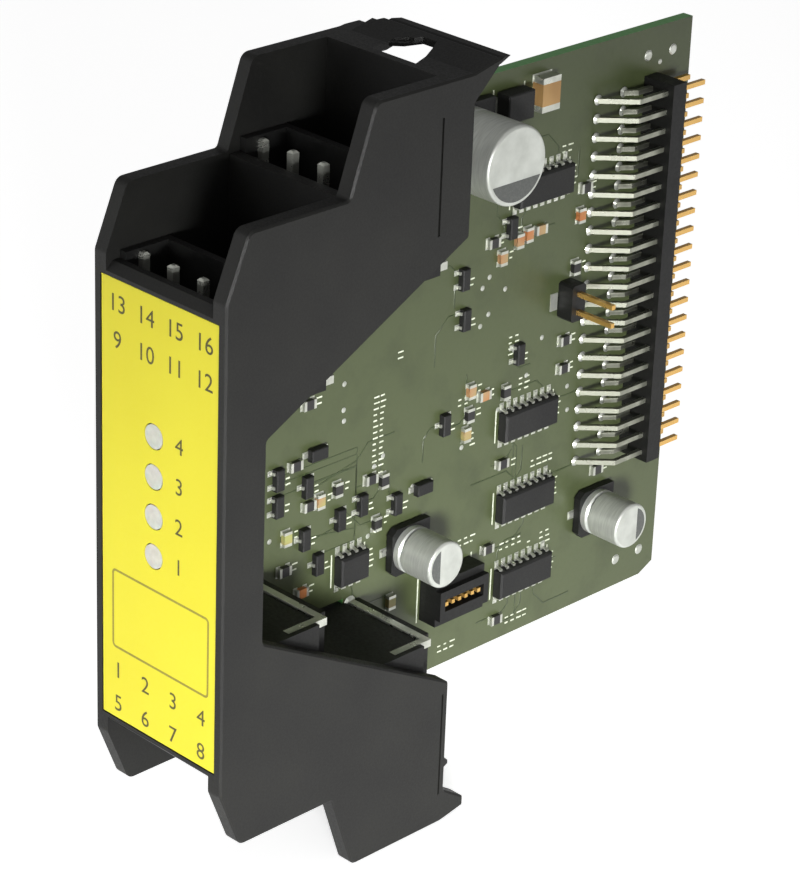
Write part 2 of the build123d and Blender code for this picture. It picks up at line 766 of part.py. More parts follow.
def socket_body():
    """The slotted service socket with a lower rim along both sides."""
    length = SOCKET_LENGTH / 2
    width = SOCKET_WIDTH / 2
    rim_top = SOCKET_HEIGHT - SOCKET_RIM_DROP
    body = block((0, rim_top), (-length, length), (-width, width))
    crown = width - SOCKET_RIM
    body += block((rim_top, SOCKET_HEIGHT), (-length, length), (-crown, crown))
    floor = SOCKET_HEIGHT - SOCKET_SLOT_DEPTH
    end = length - SOCKET_SLOT_END
    slot = block((floor, SOCKET_HEIGHT), (-end, end), (-SOCKET_SLOT / 2, SOCKET_SLOT / 2))
    return (body - slot).solid()


def socket_contacts():
    """The gilt contacts that stand in the slot of the service socket."""
    floor = SOCKET_HEIGHT - SOCKET_SLOT_DEPTH
    half = SOCKET_CONTACT / 2
    x = (floor, SOCKET_HEIGHT - SOCKET_CONTACT_DROP)
    room = SOCKET_LENGTH - 2 * SOCKET_SLOT_END
    pitch = room / SOCKET_CONTACTS
    contact = block(x, (-half, half), (-half, half))
    start = -room / 2 + pitch / 2
    return [Pos(0, start + i * pitch, 0) * contact for i in range(SOCKET_CONTACTS)]


# Nodes


def save_front():
    """Housing, label and indicators."""
    save("housing", [housing()])
    save("front_label", [front_label()])
    save("indicator_lenses", [lens(z) for z in indicator_heights()])
    save("indicator_leds", [led(z) for z in indicator_heights()])
    save("indicator_led_leads", [x for z in indicator_heights() for x in led_leads(z)])


def save_headers():
    """The four terminal headers and the edge header."""
    for place, front, inner in zip(("front", "rear"), HEADER_FRONTS, HEADER_INNERS):
        body = terminal_body(front, inner)
        pins = terminal_pins(front, inner)
        save(f"top_{place}_terminal_header", [body])
        save(f"top_{place}_terminal_pins", pins)
        save(f"bottom_{place}_terminal_header", mirrored([body]))
        save(f"bottom_{place}_terminal_pins", mirrored(pins))
    save("edge_header_body", [edge_body((ROW_INNER_X, ROW_OUTER_X))])
    save("edge_header_outer_pins", edge_pins(ROW_OUTER_X, EDGE_OUTER_BEND, EDGE_OUTER_FOOT))
    save("edge_header_inner_pins", edge_pins(ROW_INNER_X, EDGE_INNER_BEND, EDGE_INNER_FOOT))


def save_capacitors():
    """The three can capacitors."""
    save("large_capacitor_base", [on_board(*LARGE_CAN_AT, can_base(LARGE_CAN_R))])
    save("large_capacitor_can", [on_board(*LARGE_CAN_AT, can(LARGE_CAN_R, LARGE_CAN_HEIGHT))])
    small_base = can_base(SMALL_CAN_R)
    small_can = can(SMALL_CAN_R, SMALL_CAN_HEIGHT)
    save("small_capacitor_bases", [on_board(y, z, small_base) for y, z in SMALL_CANS_AT])
    save("small_capacitor_cans", [on_board(y, z, small_can) for y, z in SMALL_CANS_AT])
    leads = [on_board(*LARGE_CAN_AT, lead) for lead in can_leads(LARGE_CAN_R)]
    for y, z in SMALL_CANS_AT:
        leads += [on_board(y, z, lead) for lead in can_leads(SMALL_CAN_R)]
    save("capacitor_leads", leads)


def save_semiconductors():
    """Chips, transistors and diodes."""
    save("chip_bodies", [on_board(y, z, chip_body(n)) for y, z, n in CHIPS_AT])
    save("chip_leads", [on_board(y, z, x) for y, z, n in CHIPS_AT for x in chip_leads(n)])
    body = transistor_body()
    save("transistor_bodies", [on_board(y, z, body) for y, z, side in TRANSISTORS_AT])
    leads = [on_board(y, z, x) for y, z, side in TRANSISTORS_AT for x in transistor_leads(side)]
    save("transistor_leads", leads)
    body, tabs = tabbed_diode(
        POWER_DIODE_LENGTH, POWER_DIODE_WIDTH, POWER_DIODE_HEIGHT,
        POWER_DIODE_TAB, POWER_DIODE_TAB_THICK, POWER_DIODE_TAB_OUT,
    )
    save("power_diode_body", [on_board(*POWER_DIODE_AT, body)])
    save("power_diode_tabs", [on_board(*POWER_DIODE_AT, tab) for tab in tabs])
    body, tabs = tabbed_diode(
        SMALL_DIODE_LENGTH, SMALL_DIODE_WIDTH, SMALL_DIODE_HEIGHT,
        SMALL_DIODE_TAB, SMALL_DIODE_TAB_THICK, SMALL_DIODE_TAB_OUT,
    )
    save("small_diode_bodies", [on_board(y, z, body) for y, z in SMALL_DIODES_AT])
    save("small_diode_tabs", [on_board(y, z, tab) for y, z in SMALL_DIODES_AT for tab in tabs])


def save_chip_parts():
    """Leadless resistors and capacitors, with all their end caps in one node."""
    sizes = (CHIP_PART_LENGTH, CHIP_PART_WIDTH, CHIP_PART_HEIGHT, CHIP_PART_CAP)
    caps = []
    for name, places in (("chip_resistors", RESISTORS_AT), ("chip_ceramics", CERAMICS_AT)):
        bodies = []
        for y, z, along_z in places:
            body, ends = chip_part(*sizes, along_z)
            bodies.append(on_board(y, z, body))
            caps += [on_board(y, z, end) for end in ends]
        save(name, bodies)
    save("chip_end_caps", caps)
    body, ends = chip_part(
        LARGE_CERAMIC_LENGTH, LARGE_CERAMIC_WIDTH, LARGE_CERAMIC_HEIGHT,
        LARGE_CERAMIC_CAP, True,
    )
    save("large_ceramic_body", [on_board(*LARGE_CERAMIC_AT, body)])
    save("large_ceramic_caps", [on_board(*LARGE_CERAMIC_AT, end) for end in ends])


def save_connectors():
    """The jumper header and the service socket."""
    save("jumper_header_body", [on_board(*JUMPER_AT, jumper_body())])
    save("jumper_header_pins", [on_board(*JUMPER_AT, pin) for pin in jumper_pins()])
    save("service_socket_body", [on_board(*SOCKET_AT, socket_body())])
    save("service_socket_contacts", [on_board(*SOCKET_AT, x) for x in socket_contacts()])


save_front()
save("circuit_board", [circuit_board()])
save_headers()
save_capacitors()
save_semiconductors()
save_chip_parts()
save_connectors()
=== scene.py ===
"""Dresses the safety control module: finishes, print, solder and board detail, and a studio."""

import logging
import math
import random
from dataclasses import dataclass, field
from enum import Enum
from typing import Callable, Iterable, Sequence

import bmesh
import bpy
from mathutils import Matrix, Vector

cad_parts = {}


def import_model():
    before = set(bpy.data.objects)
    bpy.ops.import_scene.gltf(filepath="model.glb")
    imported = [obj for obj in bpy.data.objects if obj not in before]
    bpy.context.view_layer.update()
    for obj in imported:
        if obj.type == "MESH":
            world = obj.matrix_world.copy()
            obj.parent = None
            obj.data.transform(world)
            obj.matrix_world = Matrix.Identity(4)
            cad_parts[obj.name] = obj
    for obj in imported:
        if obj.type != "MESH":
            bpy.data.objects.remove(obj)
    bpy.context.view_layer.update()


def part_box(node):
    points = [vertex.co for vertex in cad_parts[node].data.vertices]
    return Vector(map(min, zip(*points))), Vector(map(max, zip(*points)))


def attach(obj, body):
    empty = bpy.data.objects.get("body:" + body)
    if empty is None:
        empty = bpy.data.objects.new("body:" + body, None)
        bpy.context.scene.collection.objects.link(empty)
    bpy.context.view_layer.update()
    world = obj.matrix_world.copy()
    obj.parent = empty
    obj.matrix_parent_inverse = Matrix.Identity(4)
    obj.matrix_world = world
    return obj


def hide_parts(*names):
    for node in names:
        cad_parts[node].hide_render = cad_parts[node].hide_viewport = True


LOG = logging.getLogger("module")
MM = 0.001
BODY = "root"
ORIGIN_Y = 48.1
ORIGIN_Z = 49.5
CONE_SIDES = 12
TRACK_SIDES = 6

Colour = tuple[int, int, int]
Place = tuple[float, float]
Point = tuple[float, float, float]


def spot(x: float, y: float, z: float) -> Vector:
    """Turns module sizes into a place in the shared frame.

    Args:
        x: Distance to the right of the middle, in millimetres.
        y: Distance behind the front face, in millimetres.
        z: Height above mid-height, in millimetres.

    Returns:
        The place in metres.
    """
    return Vector((x, y - ORIGIN_Y, z + ORIGIN_Z)) * MM


def linear(colour: Colour) -> tuple[float, float, float, float]:
    """Turns a screen colour of 0 to 255 into a linear one with full alpha.

    Args:
        colour: Red, green and blue as they look on a screen.

    Returns:
        The linear colour for a shader socket.
    """

    def channel(value: float) -> float:
        """Linear value of one channel."""
        share = value / 255
        return share / 12.92 if share <= 0.04045 else ((share + 0.055) / 1.055) ** 2.4

    red, green, blue = (channel(value) for value in colour)
    return (red, green, blue, 1.0)


# Reading the solids


@dataclass(frozen=True)
class SolidBox:
    """The box of one solid of a node, in metres."""

    low: Vector
    high: Vector

    @property
    def middle(self) -> Vector:
        """The middle of the box."""
        return (self.low + self.high) / 2

    @property
    def size(self) -> Vector:
        """The size of the box along each axis."""
        return self.high - self.low


def solid_boxes(node: str) -> list[SolidBox]:
    """Finds the separate solids of a node and their boxes.

    Args:
        node: The node's name.

    Returns:
        One box for each solid, in the order of their first vertex.
    """
    copy = bmesh.new()
    copy.from_mesh(bpy.data.objects[node].data)
    bmesh.ops.remove_doubles(copy, verts=copy.verts, dist=1e-7)
    seen: set[int] = set()
    boxes: list[SolidBox] = []
    for start in copy.verts:
        if start.index in seen:
            continue
        seen.add(start.index)
        stack = [start]
        island: list[Vector] = []
        while stack:
            vertex = stack.pop()
            island.append(vertex.co.copy())
            for edge in vertex.link_edges:
                other = edge.other_vert(vertex)
                if other.index not in seen:
                    seen.add(other.index)
                    stack.append(other)
        low = Vector([min(co[i] for co in island) for i in range(3)])
        high = Vector([max(co[i] for co in island) for i in range(3)])
        boxes.append(SolidBox(low, high))
    copy.free()
    return boxes


def node_box(node: str) -> SolidBox:
    """The box of a whole node."""
    low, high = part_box(node)
    return SolidBox(Vector(low), Vector(high))


# Node trees


class TreeSketch:
    """A node tree with short ways to add and join its nodes."""

    def __init__(self, tree: bpy.types.NodeTree) -> None:
        """Starts work on a tree.

        Args:
            tree: The node tree to add to.
        """
        self.tree = tree

    def add(self, kind: str, **settings: object) -> bpy.types.Node:
        """Adds a node.

        Args:
            kind: The node's type name.
            **settings: Properties to set on the node.

        Returns:
            The new node.
        """
        node = self.tree.nodes.new(kind)
        for name, value in settings.items():
            setattr(node, name, value)
        return node

    def link(self, source: bpy.types.NodeSocket, target: bpy.types.NodeSocket) -> None:
        """Joins an output to an input."""
        self.tree.links.new(source, target)


class ShaderSketch(TreeSketch):
    """A material's node tree, which starts with a Principled shader."""

    def __init__(self, name: str) -> None:
        """Starts a material.

        Args:
            name: The material's name.
        """
        self.material = bpy.data.materials.new(name)
        self.material.use_nodes = True
        super().__init__(self.material.node_tree)
        self.surface = self.tree.nodes["Principled BSDF"]
        self.place = self.add("ShaderNodeTexCoord").outputs["Object"]

    def set(self, **values: object) -> None:
        """Sets constants on the shader's own sockets, with _ for a space."""
        for name, value in values.items():
            self.surface.inputs[name.replace("_", " ")].default_value = value

    def paint(self, colour: bpy.types.NodeSocket) -> None:
        """Gives the surface its colour."""
        self.link(colour, self.surface.inputs["Base Color"])

    def sheen(self, noise: bpy.types.Node, low: float, high: float) -> None:
        """Lets the surface's roughness follow a noise between two values."""
        self.link(self.levels(noise.outputs["Fac"], low, high), self.surface.inputs["Roughness"])

    def tint(self, noise: bpy.types.Node, first: Colour, second: Colour) -> bpy.types.NodeSocket:
        """Blends two screen colours by a noise."""
        return self.blend(self.levels(noise.outputs["Fac"], 0.0, 1.0), first, second)

    def noise(self, size_mm: float, detail: float = 2.0, rough: float = 0.5) -> bpy.types.Node:
        """Adds a noise on the object's own coordinates.

        Args:
            size_mm: The size of one blotch in millimetres.
            detail: How many finer layers the noise has.
            rough: The strength of the finer layers.

        Returns:
            The noise node.
        """
        node = self.add("ShaderNodeTexNoise")
        node.inputs["Scale"].default_value = 1 / (size_mm * MM)
        node.inputs["Detail"].default_value = detail
        node.inputs["Roughness"].default_value = rough
        self.link(self.place, node.inputs["Vector"])
        return node

    def ramp(
        self, source: bpy.types.NodeSocket, stops: Sequence[tuple[float, Colour]]
    ) -> bpy.types.NodeSocket:
        """Adds a colour ramp.

        Args:
            source: The value that runs along the ramp.
            stops: Places from 0 to 1 with their screen colours.

        Returns:
            The ramp's colour output.
        """
        node = self.add("ShaderNodeValToRGB")
        elements = node.color_ramp.elements
        while len(elements) < len(stops):
            elements.new(0.5)
        for element, (place, colour) in zip(elements, stops):
            element.position = place
            element.color = linear(colour)
        self.link(source, node.inputs["Fac"])
        return node.outputs["Color"]

    def levels(
        self, source: bpy.types.NodeSocket, low: float, high: float,
        start: float = 0.3, end: float = 0.7,
    ) -> bpy.types.NodeSocket:
        """Maps a value to a range, clamped.

        Args:
            source: The value to map.
            low: The result at the start.
            high: The result at the end.
            start: The value that gives low.
            end: The value that gives high.

        Returns:
            The mapped value.
        """
        node = self.add("ShaderNodeMapRange")
        for name, value in (
            ("From Min", start), ("From Max", end), ("To Min", low), ("To Max", high),
        ):
            node.inputs[name].default_value = value
        self.link(source, node.inputs["Value"])
        return node.outputs["Result"]

    def blend(
        self, share: bpy.types.NodeSocket, first: bpy.types.NodeSocket | Colour,
        second: bpy.types.NodeSocket | Colour,
    ) -> bpy.types.NodeSocket:
        """Mixes two colours.

        Args:
            share: How much of the second colour shows.
            first: A colour output, or a screen colour.
            second: A colour output, or a screen colour.

        Returns:
            The mixed colour.
        """
        node = self.add("ShaderNodeMix", data_type="RGBA")
        self.link(share, node.inputs[0])
        for socket, colour in ((node.inputs[6], first), (node.inputs[7], second)):
            if isinstance(colour, tuple):
                socket.default_value = linear(colour)
            else:
                self.link(colour, socket)
        return node.outputs[2]

    def axis(self, name: str) -> bpy.types.NodeSocket:
        """One coordinate of the object's own space, in metres."""
        node = self.add("ShaderNodeSeparateXYZ")
        self.link(self.place, node.inputs[0])
        return node.outputs[name]

    def bump(self, height: bpy.types.NodeSocket, depth_mm: float, strength: float) -> None:
        """Presses a height into the surface.

        Args:
            height: The height, from 0 to 1.
            depth_mm: What a height of 1 measures.
            strength: How strongly it shows.
        """
        node = self.add("ShaderNodeBump")
        node.inputs["Distance"].default_value = depth_mm * MM
        node.inputs["Strength"].default_value = strength
        self.link(height, node.inputs["Height"])
        self.link(node.outputs["Normal"], self.surface.inputs["Normal"])


# Finishes


@dataclass(frozen=True)
class MouldedPlastic:
    """A moulded plastic with a fine spark-eroded grain and soft wear."""

    name: str
    colour: Colour
    worn: Colour
    grain_mm: float = 0.28
    depth_mm: float = 0.02
    roughness: tuple[float, float] = (0.42, 0.6)
    gloss: float = 0.3
    cloud_mm: float = 9.0
    speck_lift: int = 14

    def build(self) -> bpy.types.Material:
        """Builds the material."""
        sketch = ShaderSketch(self.name)
        cloud = sketch.noise(self.cloud_mm, detail=3.0)
        grain = sketch.noise(self.grain_mm, detail=3.0, rough=0.6)
        colour = sketch.tint(cloud, self.colour, self.worn)
        speck = sketch.levels(grain.outputs["Fac"], 0.0, 0.25, start=0.62, end=0.8)
        pale: Colour = tuple(value + self.speck_lift for value in self.worn)
        sketch.paint(sketch.blend(speck, colour, pale))
        sketch.sheen(grain, *self.roughness)
        sketch.bump(grain.outputs["Fac"], depth_mm=self.depth_mm, strength=0.5)
        sketch.set(Specular_IOR_Level=self.gloss)
        return sketch.material


@dataclass(frozen=True)
class PrintedFilm:
    """A printed satin film on the front."""

    name: str
    colour: Colour
    shade: Colour
    cloud_mm: float = 16.0
    peel_mm: float = 0.5
    roughness: tuple[float, float] = (0.38, 0.5)

    def build(self) -> bpy.types.Material:
        """Builds the material."""
        sketch = ShaderSketch(self.name)
        cloud = sketch.noise(self.cloud_mm)
        peel = sketch.noise(self.peel_mm)
        sketch.paint(sketch.tint(cloud, self.colour, self.shade))
        sketch.sheen(peel, *self.roughness)
        sketch.bump(peel.outputs["Fac"], depth_mm=0.006, strength=0.35)
        return sketch.material


@dataclass(frozen=True)
class Ink:
    """A thin coat of print with slightly uneven cover."""

    name: str
    colour: Colour
    thin: Colour
    roughness: float = 0.55
    cover_mm: float = 0.35

    def build(self) -> bpy.types.Material:
        """Builds the material."""
        sketch = ShaderSketch(self.name)
        cover = sketch.noise(self.cover_mm, detail=3.0, rough=0.7)
        share = sketch.levels(cover.outputs["Fac"], 0.0, 1.0, start=0.45, end=0.75)
        sketch.paint(sketch.blend(share, self.colour, self.thin))
        sketch.set(Roughness=self.roughness)
        return sketch.material


@dataclass(frozen=True)
class PlatedMetal:
    """A plated metal, with another plating behind a given place along the module."""

    name: str
    colour: Colour
    stain: Colour
    tip_colour: Colour | None = None
    tip_from_y: float = 0.0
    roughness: tuple[float, float] = (0.24, 0.4)
    metal: float = 0.75
    stain_mm: float = 1.6
    tip_blend: float = 0.4

    def build(self) -> bpy.types.Material:
        """Builds the material."""
        sketch = ShaderSketch(self.name)
        stain = sketch.noise(self.stain_mm)
        colour = sketch.tint(stain, self.colour, self.stain)
        if self.tip_colour is not None:
            start = (self.tip_from_y - ORIGIN_Y) * MM
            end = start + self.tip_blend * MM
            share = sketch.levels(sketch.axis("Y"), 0.0, 1.0, start=start, end=end)
            colour = sketch.blend(share, colour, self.tip_colour)
        sketch.paint(colour)
        sketch.sheen(stain, *self.roughness)
        sketch.bump(stain.outputs["Fac"], depth_mm=0.006, strength=0.12)
        sketch.set(Metallic=self.metal)
        return sketch.material


@dataclass(frozen=True)
class BoardLaminate:
    """Green solder resist over glass cloth, with cut edges and painted light that makes it paler
    towards the bottom.
    """

    name: str
    top: Colour
    # The bottom colour is painted light: the top colour made paler, as if lit from below.
    bottom: Colour
    edge: Colour
    # Half the height over which the painted light fades from the bottom colour to the top one,
    # in millimetres.
    half_height: float = 40.0
    cloud_mm: float = 7.0
    cloud_dark: float = 0.86
    weave_mm: float = 0.5
    fine_mm: float = 0.6
    roughness: tuple[float, float] = (0.28, 0.42)

    def build(self) -> bpy.types.Material:
        """Builds the material."""
        sketch = ShaderSketch(self.name)
        # Painted light: the colour turns from the paler bottom colour to the top colour with
        # height.
        low = (ORIGIN_Z - self.half_height) * MM
        high = (ORIGIN_Z + self.half_height) * MM
        height = sketch.levels(sketch.axis("Z"), 0.0, 1.0, start=low, end=high)
        mask_and_painted_light = sketch.blend(height, self.bottom, self.top)
        cloud = sketch.noise(self.cloud_mm, detail=4.0, rough=0.6)
        darker: Colour = tuple(int(value * self.cloud_dark) for value in self.top)
        patch = sketch.levels(cloud.outputs["Fac"], 0.0, 0.55, start=0.5, end=0.72)
        mask_and_painted_light = sketch.blend(patch, mask_and_painted_light, darker)
        weave = sketch.add("ShaderNodeTexChecker")
        weave.inputs["Scale"].default_value = 1 / (self.weave_mm * MM)
        sketch.link(sketch.place, weave.inputs["Vector"])
        geometry = sketch.add("ShaderNodeNewGeometry")
        parts = sketch.add("ShaderNodeSeparateXYZ")
        sketch.link(geometry.outputs["Normal"], parts.inputs[0])
        flat = sketch.add("ShaderNodeMath", operation="ABSOLUTE")
        sketch.link(parts.outputs["X"], flat.inputs[0])
        side = sketch.levels(flat.outputs[0], 1.0, 0.0, start=0.4, end=0.6)
        sketch.paint(sketch.blend(side, mask_and_painted_light, self.edge))
        sketch.sheen(sketch.noise(self.fine_mm), *self.roughness)
        sketch.bump(weave.outputs["Fac"], depth_mm=0.004, strength=0.12)
        return sketch.material


@dataclass(frozen=True)
class DrawnCan:
    """Drawn aluminium with fine rings round the can."""

    name: str
    colour: Colour
    shade: Colour
    ring_mm: float = 1.2
    stretch: Point = (6.0, 0.5, 0.5)
    roughness: tuple[float, float] = (0.3, 0.46)
    metal: float = 0.55

    def build(self) -> bpy.types.Material:
        """Builds the material."""
        sketch = ShaderSketch(self.name)
        stretch = sketch.add("ShaderNodeMapping")
        stretch.inputs["Scale"].default_value = self.stretch
        sketch.link(sketch.place, stretch.inputs["Vector"])
        lines = sketch.noise(self.ring_mm, detail=4.0)
        sketch.link(stretch.outputs["Vector"], lines.inputs["Vector"])
        sketch.paint(sketch.tint(lines, self.colour, self.shade))
        sketch.sheen(lines, *self.roughness)
        sketch.bump(lines.outputs["Fac"], depth_mm=0.004, strength=0.12)
        sketch.set(Metallic=self.metal)
        return sketch.material


@dataclass(frozen=True)
class CloudyLens:
    """A milky lens that shows pale grey while it is unlit."""

    name: str
    colour: Colour
    shade: Colour
    cloud_mm: float = 0.8

    def build(self) -> bpy.types.Material:
        """Builds the material."""
        sketch = ShaderSketch(self.name)
        cloud = sketch.noise(self.cloud_mm, detail=3.0)
        sketch.paint(sketch.tint(cloud, self.colour, self.shade))
        sketch.set(Roughness=0.3, Subsurface_Weight=0.25, Subsurface_Scale=MM)
        sketch.bump(cloud.outputs["Fac"], depth_mm=0.02, strength=0.3)
        return sketch.material


@dataclass(frozen=True)
class FiredCeramic:
    """Sintered ceramic whose tone changes from one piece to the next."""

    name: str
    tones: tuple[Colour, ...]
    spread_mm: float = 3.0
    grain_mm: float = 0.15
    roughness: tuple[float, float] = (0.3, 0.5)

    def build(self) -> bpy.types.Material:
        """Builds the material."""
        sketch = ShaderSketch(self.name)
        cloud = sketch.noise(self.spread_mm, detail=0.0)
        last = max(len(self.tones) - 1, 1)
        stops = [(0.25 + 0.5 * i / last, tone) for i, tone in enumerate(self.tones)]
        grain = sketch.noise(self.grain_mm)
        sketch.paint(sketch.ramp(cloud.outputs["Fac"], stops))
        sketch.sheen(grain, *self.roughness)
        sketch.bump(grain.outputs["Fac"], depth_mm=0.01, strength=0.3)
        return sketch.material


class Finish(Enum):
    """The finishes of the module."""

    HOUSING = MouldedPlastic("housing black", (24, 24, 23), (30, 30, 28))
    CONNECTOR = MouldedPlastic("connector black", (18, 18, 18), (24, 24, 23), 0.4, 0.01)
    BASE = MouldedPlastic("capacitor base black", (18, 18, 18), (26, 26, 25), 0.3, 0.01)
    EPOXY = MouldedPlastic(
        "chip epoxy", (27, 27, 27), (36, 36, 35), 0.18, 0.012, (0.5, 0.68)
    )
    LABEL = PrintedFilm("label yellow", (224, 214, 50), (220, 209, 44))
    INK = Ink("label ink", (74, 70, 34), (92, 88, 42))
    PALE_INK = Ink("label frame ink", (142, 132, 52), (156, 146, 58))
    LEGEND = Ink("board legend", (214, 219, 200), (176, 184, 160))
    MASKED_COPPER = Ink("masked copper", (54, 64, 38), (60, 70, 43), 0.32)
    TIN = PlatedMetal("bright tin", (208, 210, 200), (184, 186, 176))
    SOLDER = PlatedMetal("solder", (210, 212, 204), (184, 187, 177), None, 0, (0.25, 0.45))
    PINS = PlatedMetal("header pins", (160, 162, 148), (134, 136, 122), (226, 182, 106), 89.5)
    GOLD = PlatedMetal("gold plate", (226, 184, 108), (204, 160, 84))
    # The board's second colour is painted light, which makes it paler towards the bottom.
    BOARD = BoardLaminate("board", (60, 68, 40), (74, 82, 54), (88, 152, 80))
    CAN = DrawnCan("drawn can", (204, 207, 200), (184, 187, 180))
    SEGMENT = Ink("can segment print", (74, 76, 74), (92, 94, 90), 0.4)
    LENS = CloudyLens("indicator lens", (206, 205, 196), (190, 189, 180))
    LED = CloudyLens("indicator epoxy", (214, 214, 206), (198, 198, 190))
    RESISTOR = FiredCeramic("resistor glaze", ((24, 24, 26), (40, 38, 36)))
    CERAMIC = FiredCeramic(
        "capacitor ceramic", ((166, 104, 58), (156, 128, 92), (152, 154, 92)), 4.0
    )
    TAN = FiredCeramic("large capacitor ceramic", ((146, 112, 66), (164, 130, 82)))

    def material(self) -> bpy.types.Material:
        """The finish's material, built the first time that it is asked for."""
        known = bpy.data.materials.get(self.value.name)
        return known if known is not None else self.value.build()


def dress(node: str, finish: Finish) -> None:
    """Gives a node its finish in every material slot.

    Args:
        node: The node's name.
        finish: The finish to give it.
    """
    target = bpy.data.objects[node]
    if not target.material_slots:
        target.data.materials.append(finish.material())
    for slot in target.material_slots:
        slot.material = finish.material()


# Making pieces


def place_mesh(name: str, mesh: bpy.types.Mesh) -> bpy.types.Object:
    """Puts a mesh into the scene as an object at the origin.

    Args:
        name: The object's name.
        mesh: Its mesh.

    Returns:
        The new object.
    """
    piece = bpy.data.objects.new(name, mesh)
    bpy.context.scene.collection.objects.link(piece)
    return piece


def evaluated_mesh(source: bpy.types.Object) -> bpy.types.Mesh:
    """Applies an object's modifiers.

    Args:
        source: The object, which stays as it is.

    Returns:
        The result as a plain mesh.
    """
    graph = bpy.context.evaluated_depsgraph_get()
    graph.update()
    return bpy.data.meshes.new_from_object(source.evaluated_get(graph))


def prism_faces(count: int) -> list[list[int]]:
    """Faces of a closed prism between two rings of points.

    Args:
        count: How many points one ring has. The second ring follows the first.

    Returns:
        The two ends and the sides.
    """
    faces = [list(range(count)), list(range(2 * count - 1, count - 1, -1))]
    for i in range(count):
        j = (i + 1) % count
        faces.append([i, j, count + j, count + i])
    return faces


def piece_from(
    name: str, points: Sequence[Vector], faces: Sequence[Sequence[int]], finish: Finish
) -> bpy.types.Object:
    """Makes a mesh piece at the origin.

    Args:
        name: The piece's name.
        points: Its points in metres.
        faces: Its faces, as numbers of points.
        finish: Its finish.

    Returns:
        The new object.
    """
    mesh = bpy.data.meshes.new(name)
    mesh.from_pydata([tuple(point) for point in points], [], [list(face) for face in faces])
    mesh.materials.append(finish.material())
    shape = bmesh.new()
    shape.from_mesh(mesh)
    bmesh.ops.recalc_face_normals(shape, faces=shape.faces)
    shape.to_mesh(mesh)
    shape.free()
    return place_mesh(name, mesh)


def settle(piece: bpy.types.Object) -> None:
    """Hangs a finished piece on the body and logs its face count.

    Args:
        piece: The finished piece.
    """
    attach(piece, BODY)
    LOG.info("%s: %d faces", piece.name, len(piece.data.polygons))


# Geometry Nodes


class NodePattern(TreeSketch):
    """A Geometry Nodes tree that turns a guide mesh into repeated pieces."""

    def __init__(self, name: str, finish: Finish) -> None:
        """Starts a tree.

        Args:
            name: The tree's name.
            finish: The finish of what it makes.
        """
        super().__init__(bpy.data.node_groups.new(name, "GeometryNodeTree"))
        face = self.tree.interface
        face.new_socket(name="Guide", in_out="INPUT", socket_type="NodeSocketGeometry")
        face.new_socket(name="Result", in_out="OUTPUT", socket_type="NodeSocketGeometry")
        self.finish = finish
        self.values: dict[str, float] = {}

    def size(self, name: str, value: float) -> None:
        """Adds a named size to the tree.

        Args:
            name: The input's name.
            value: Its value in metres, or a plain number.
        """
        self.tree.interface.new_socket(
            name=name, in_out="INPUT", socket_type="NodeSocketFloat"
        )
        self.values[name] = value

    def inputs(self) -> bpy.types.Node:
        """The node that gives the guide and the named sizes."""
        return self.add("NodeGroupInput")

    def copies(
        self, guide: bpy.types.NodeSocket, piece: bpy.types.NodeSocket
    ) -> bpy.types.Node:
        """Sets a copy of a piece on every point of the guide.

        Args:
            guide: The guide's points.
            piece: What is copied.

        Returns:
            The node that makes the copies.
        """
        node = self.add("GeometryNodeInstanceOnPoints")
        self.link(guide, node.inputs["Points"])
        self.link(piece, node.inputs["Instance"])
        return node

    def end(self, geometry: bpy.types.NodeSocket) -> None:
        """Realizes the copies, gives them the finish and ends the tree.

        Args:
            geometry: What the tree has made.
        """
        real = self.add("GeometryNodeRealizeInstances")
        paint = self.add("GeometryNodeSetMaterial")
        paint.inputs["Material"].default_value = self.finish.material()
        result = self.add("NodeGroupOutput")
        self.link(geometry, real.inputs[0])
        self.link(real.outputs[0], paint.inputs["Geometry"])
        self.link(paint.outputs[0], result.inputs[0])

    def bake(self, name: str, guide: bpy.types.Mesh) -> bpy.types.Object:
        """Runs the tree on a guide mesh and keeps the result as a plain mesh.

        Args:
            name: The name of the piece.
            guide: The mesh that the tree starts from.

        Returns:
            The finished piece, with no modifier.
        """
        piece = place_mesh(name, guide)
        modifier = piece.modifiers.new("pattern", "NODES")
        modifier.node_group = self.tree
        for item in self.tree.interface.items_tree:
            if item.in_out == "INPUT" and item.name in self.values:
                modifier[item.identifier] = self.values[item.name]
        mesh = evaluated_mesh(piece)
        piece.modifiers.clear()
        piece.data = mesh
        if not mesh.materials:
            mesh.materials.append(self.finish.material())
        return piece


def guide_points(points: Sequence[Vector], sizes: Sequence[Vector]) -> bpy.types.Mesh:
    """A guide mesh of loose points that each carry a size.

    Args:
        points: Where the copies go, in metres.
        sizes: The size of each copy, in metres.

    Returns:
        The guide mesh.
    """
    mesh = bpy.data.meshes.new("guide")
    mesh.from_pydata([tuple(point) for point in points], [], [])
    store = mesh.attributes.new("piece_size", "FLOAT_VECTOR", "POINT")
    for item, size in zip(store.data, sizes):
        item.vector = size
    return mesh


def patches(name: str, boxes: Sequence[SolidBox], finish: Finish) -> bpy.types.Object:
    """Lays thin rectangular patches, one for each box.

    Args:
        name: The piece's name.
        boxes: The box of each patch.
        finish: Their finish.

    Returns:
        One piece with all the patches.
    """
    pattern = NodePattern(name, finish)
    pattern.size("Scale", 1.0)
    given = pattern.inputs()
    stored = pattern.add("GeometryNodeInputNamedAttribute", data_type="FLOAT_VECTOR")
    stored.inputs["Name"].default_value = "piece_size"
    scaled = pattern.add("ShaderNodeVectorMath", operation="SCALE")
    pattern.link(stored.outputs[0], scaled.inputs[0])
    pattern.link(given.outputs["Scale"], scaled.inputs["Scale"])
    cube = pattern.add("GeometryNodeMeshCube")
    copies = pattern.copies(given.outputs["Guide"], cube.outputs["Mesh"])
    pattern.link(scaled.outputs[0], copies.inputs["Scale"])
    pattern.end(copies.outputs[0])
    guide = guide_points([box.middle for box in boxes], [box.size for box in boxes])
    return pattern.bake(name, guide)


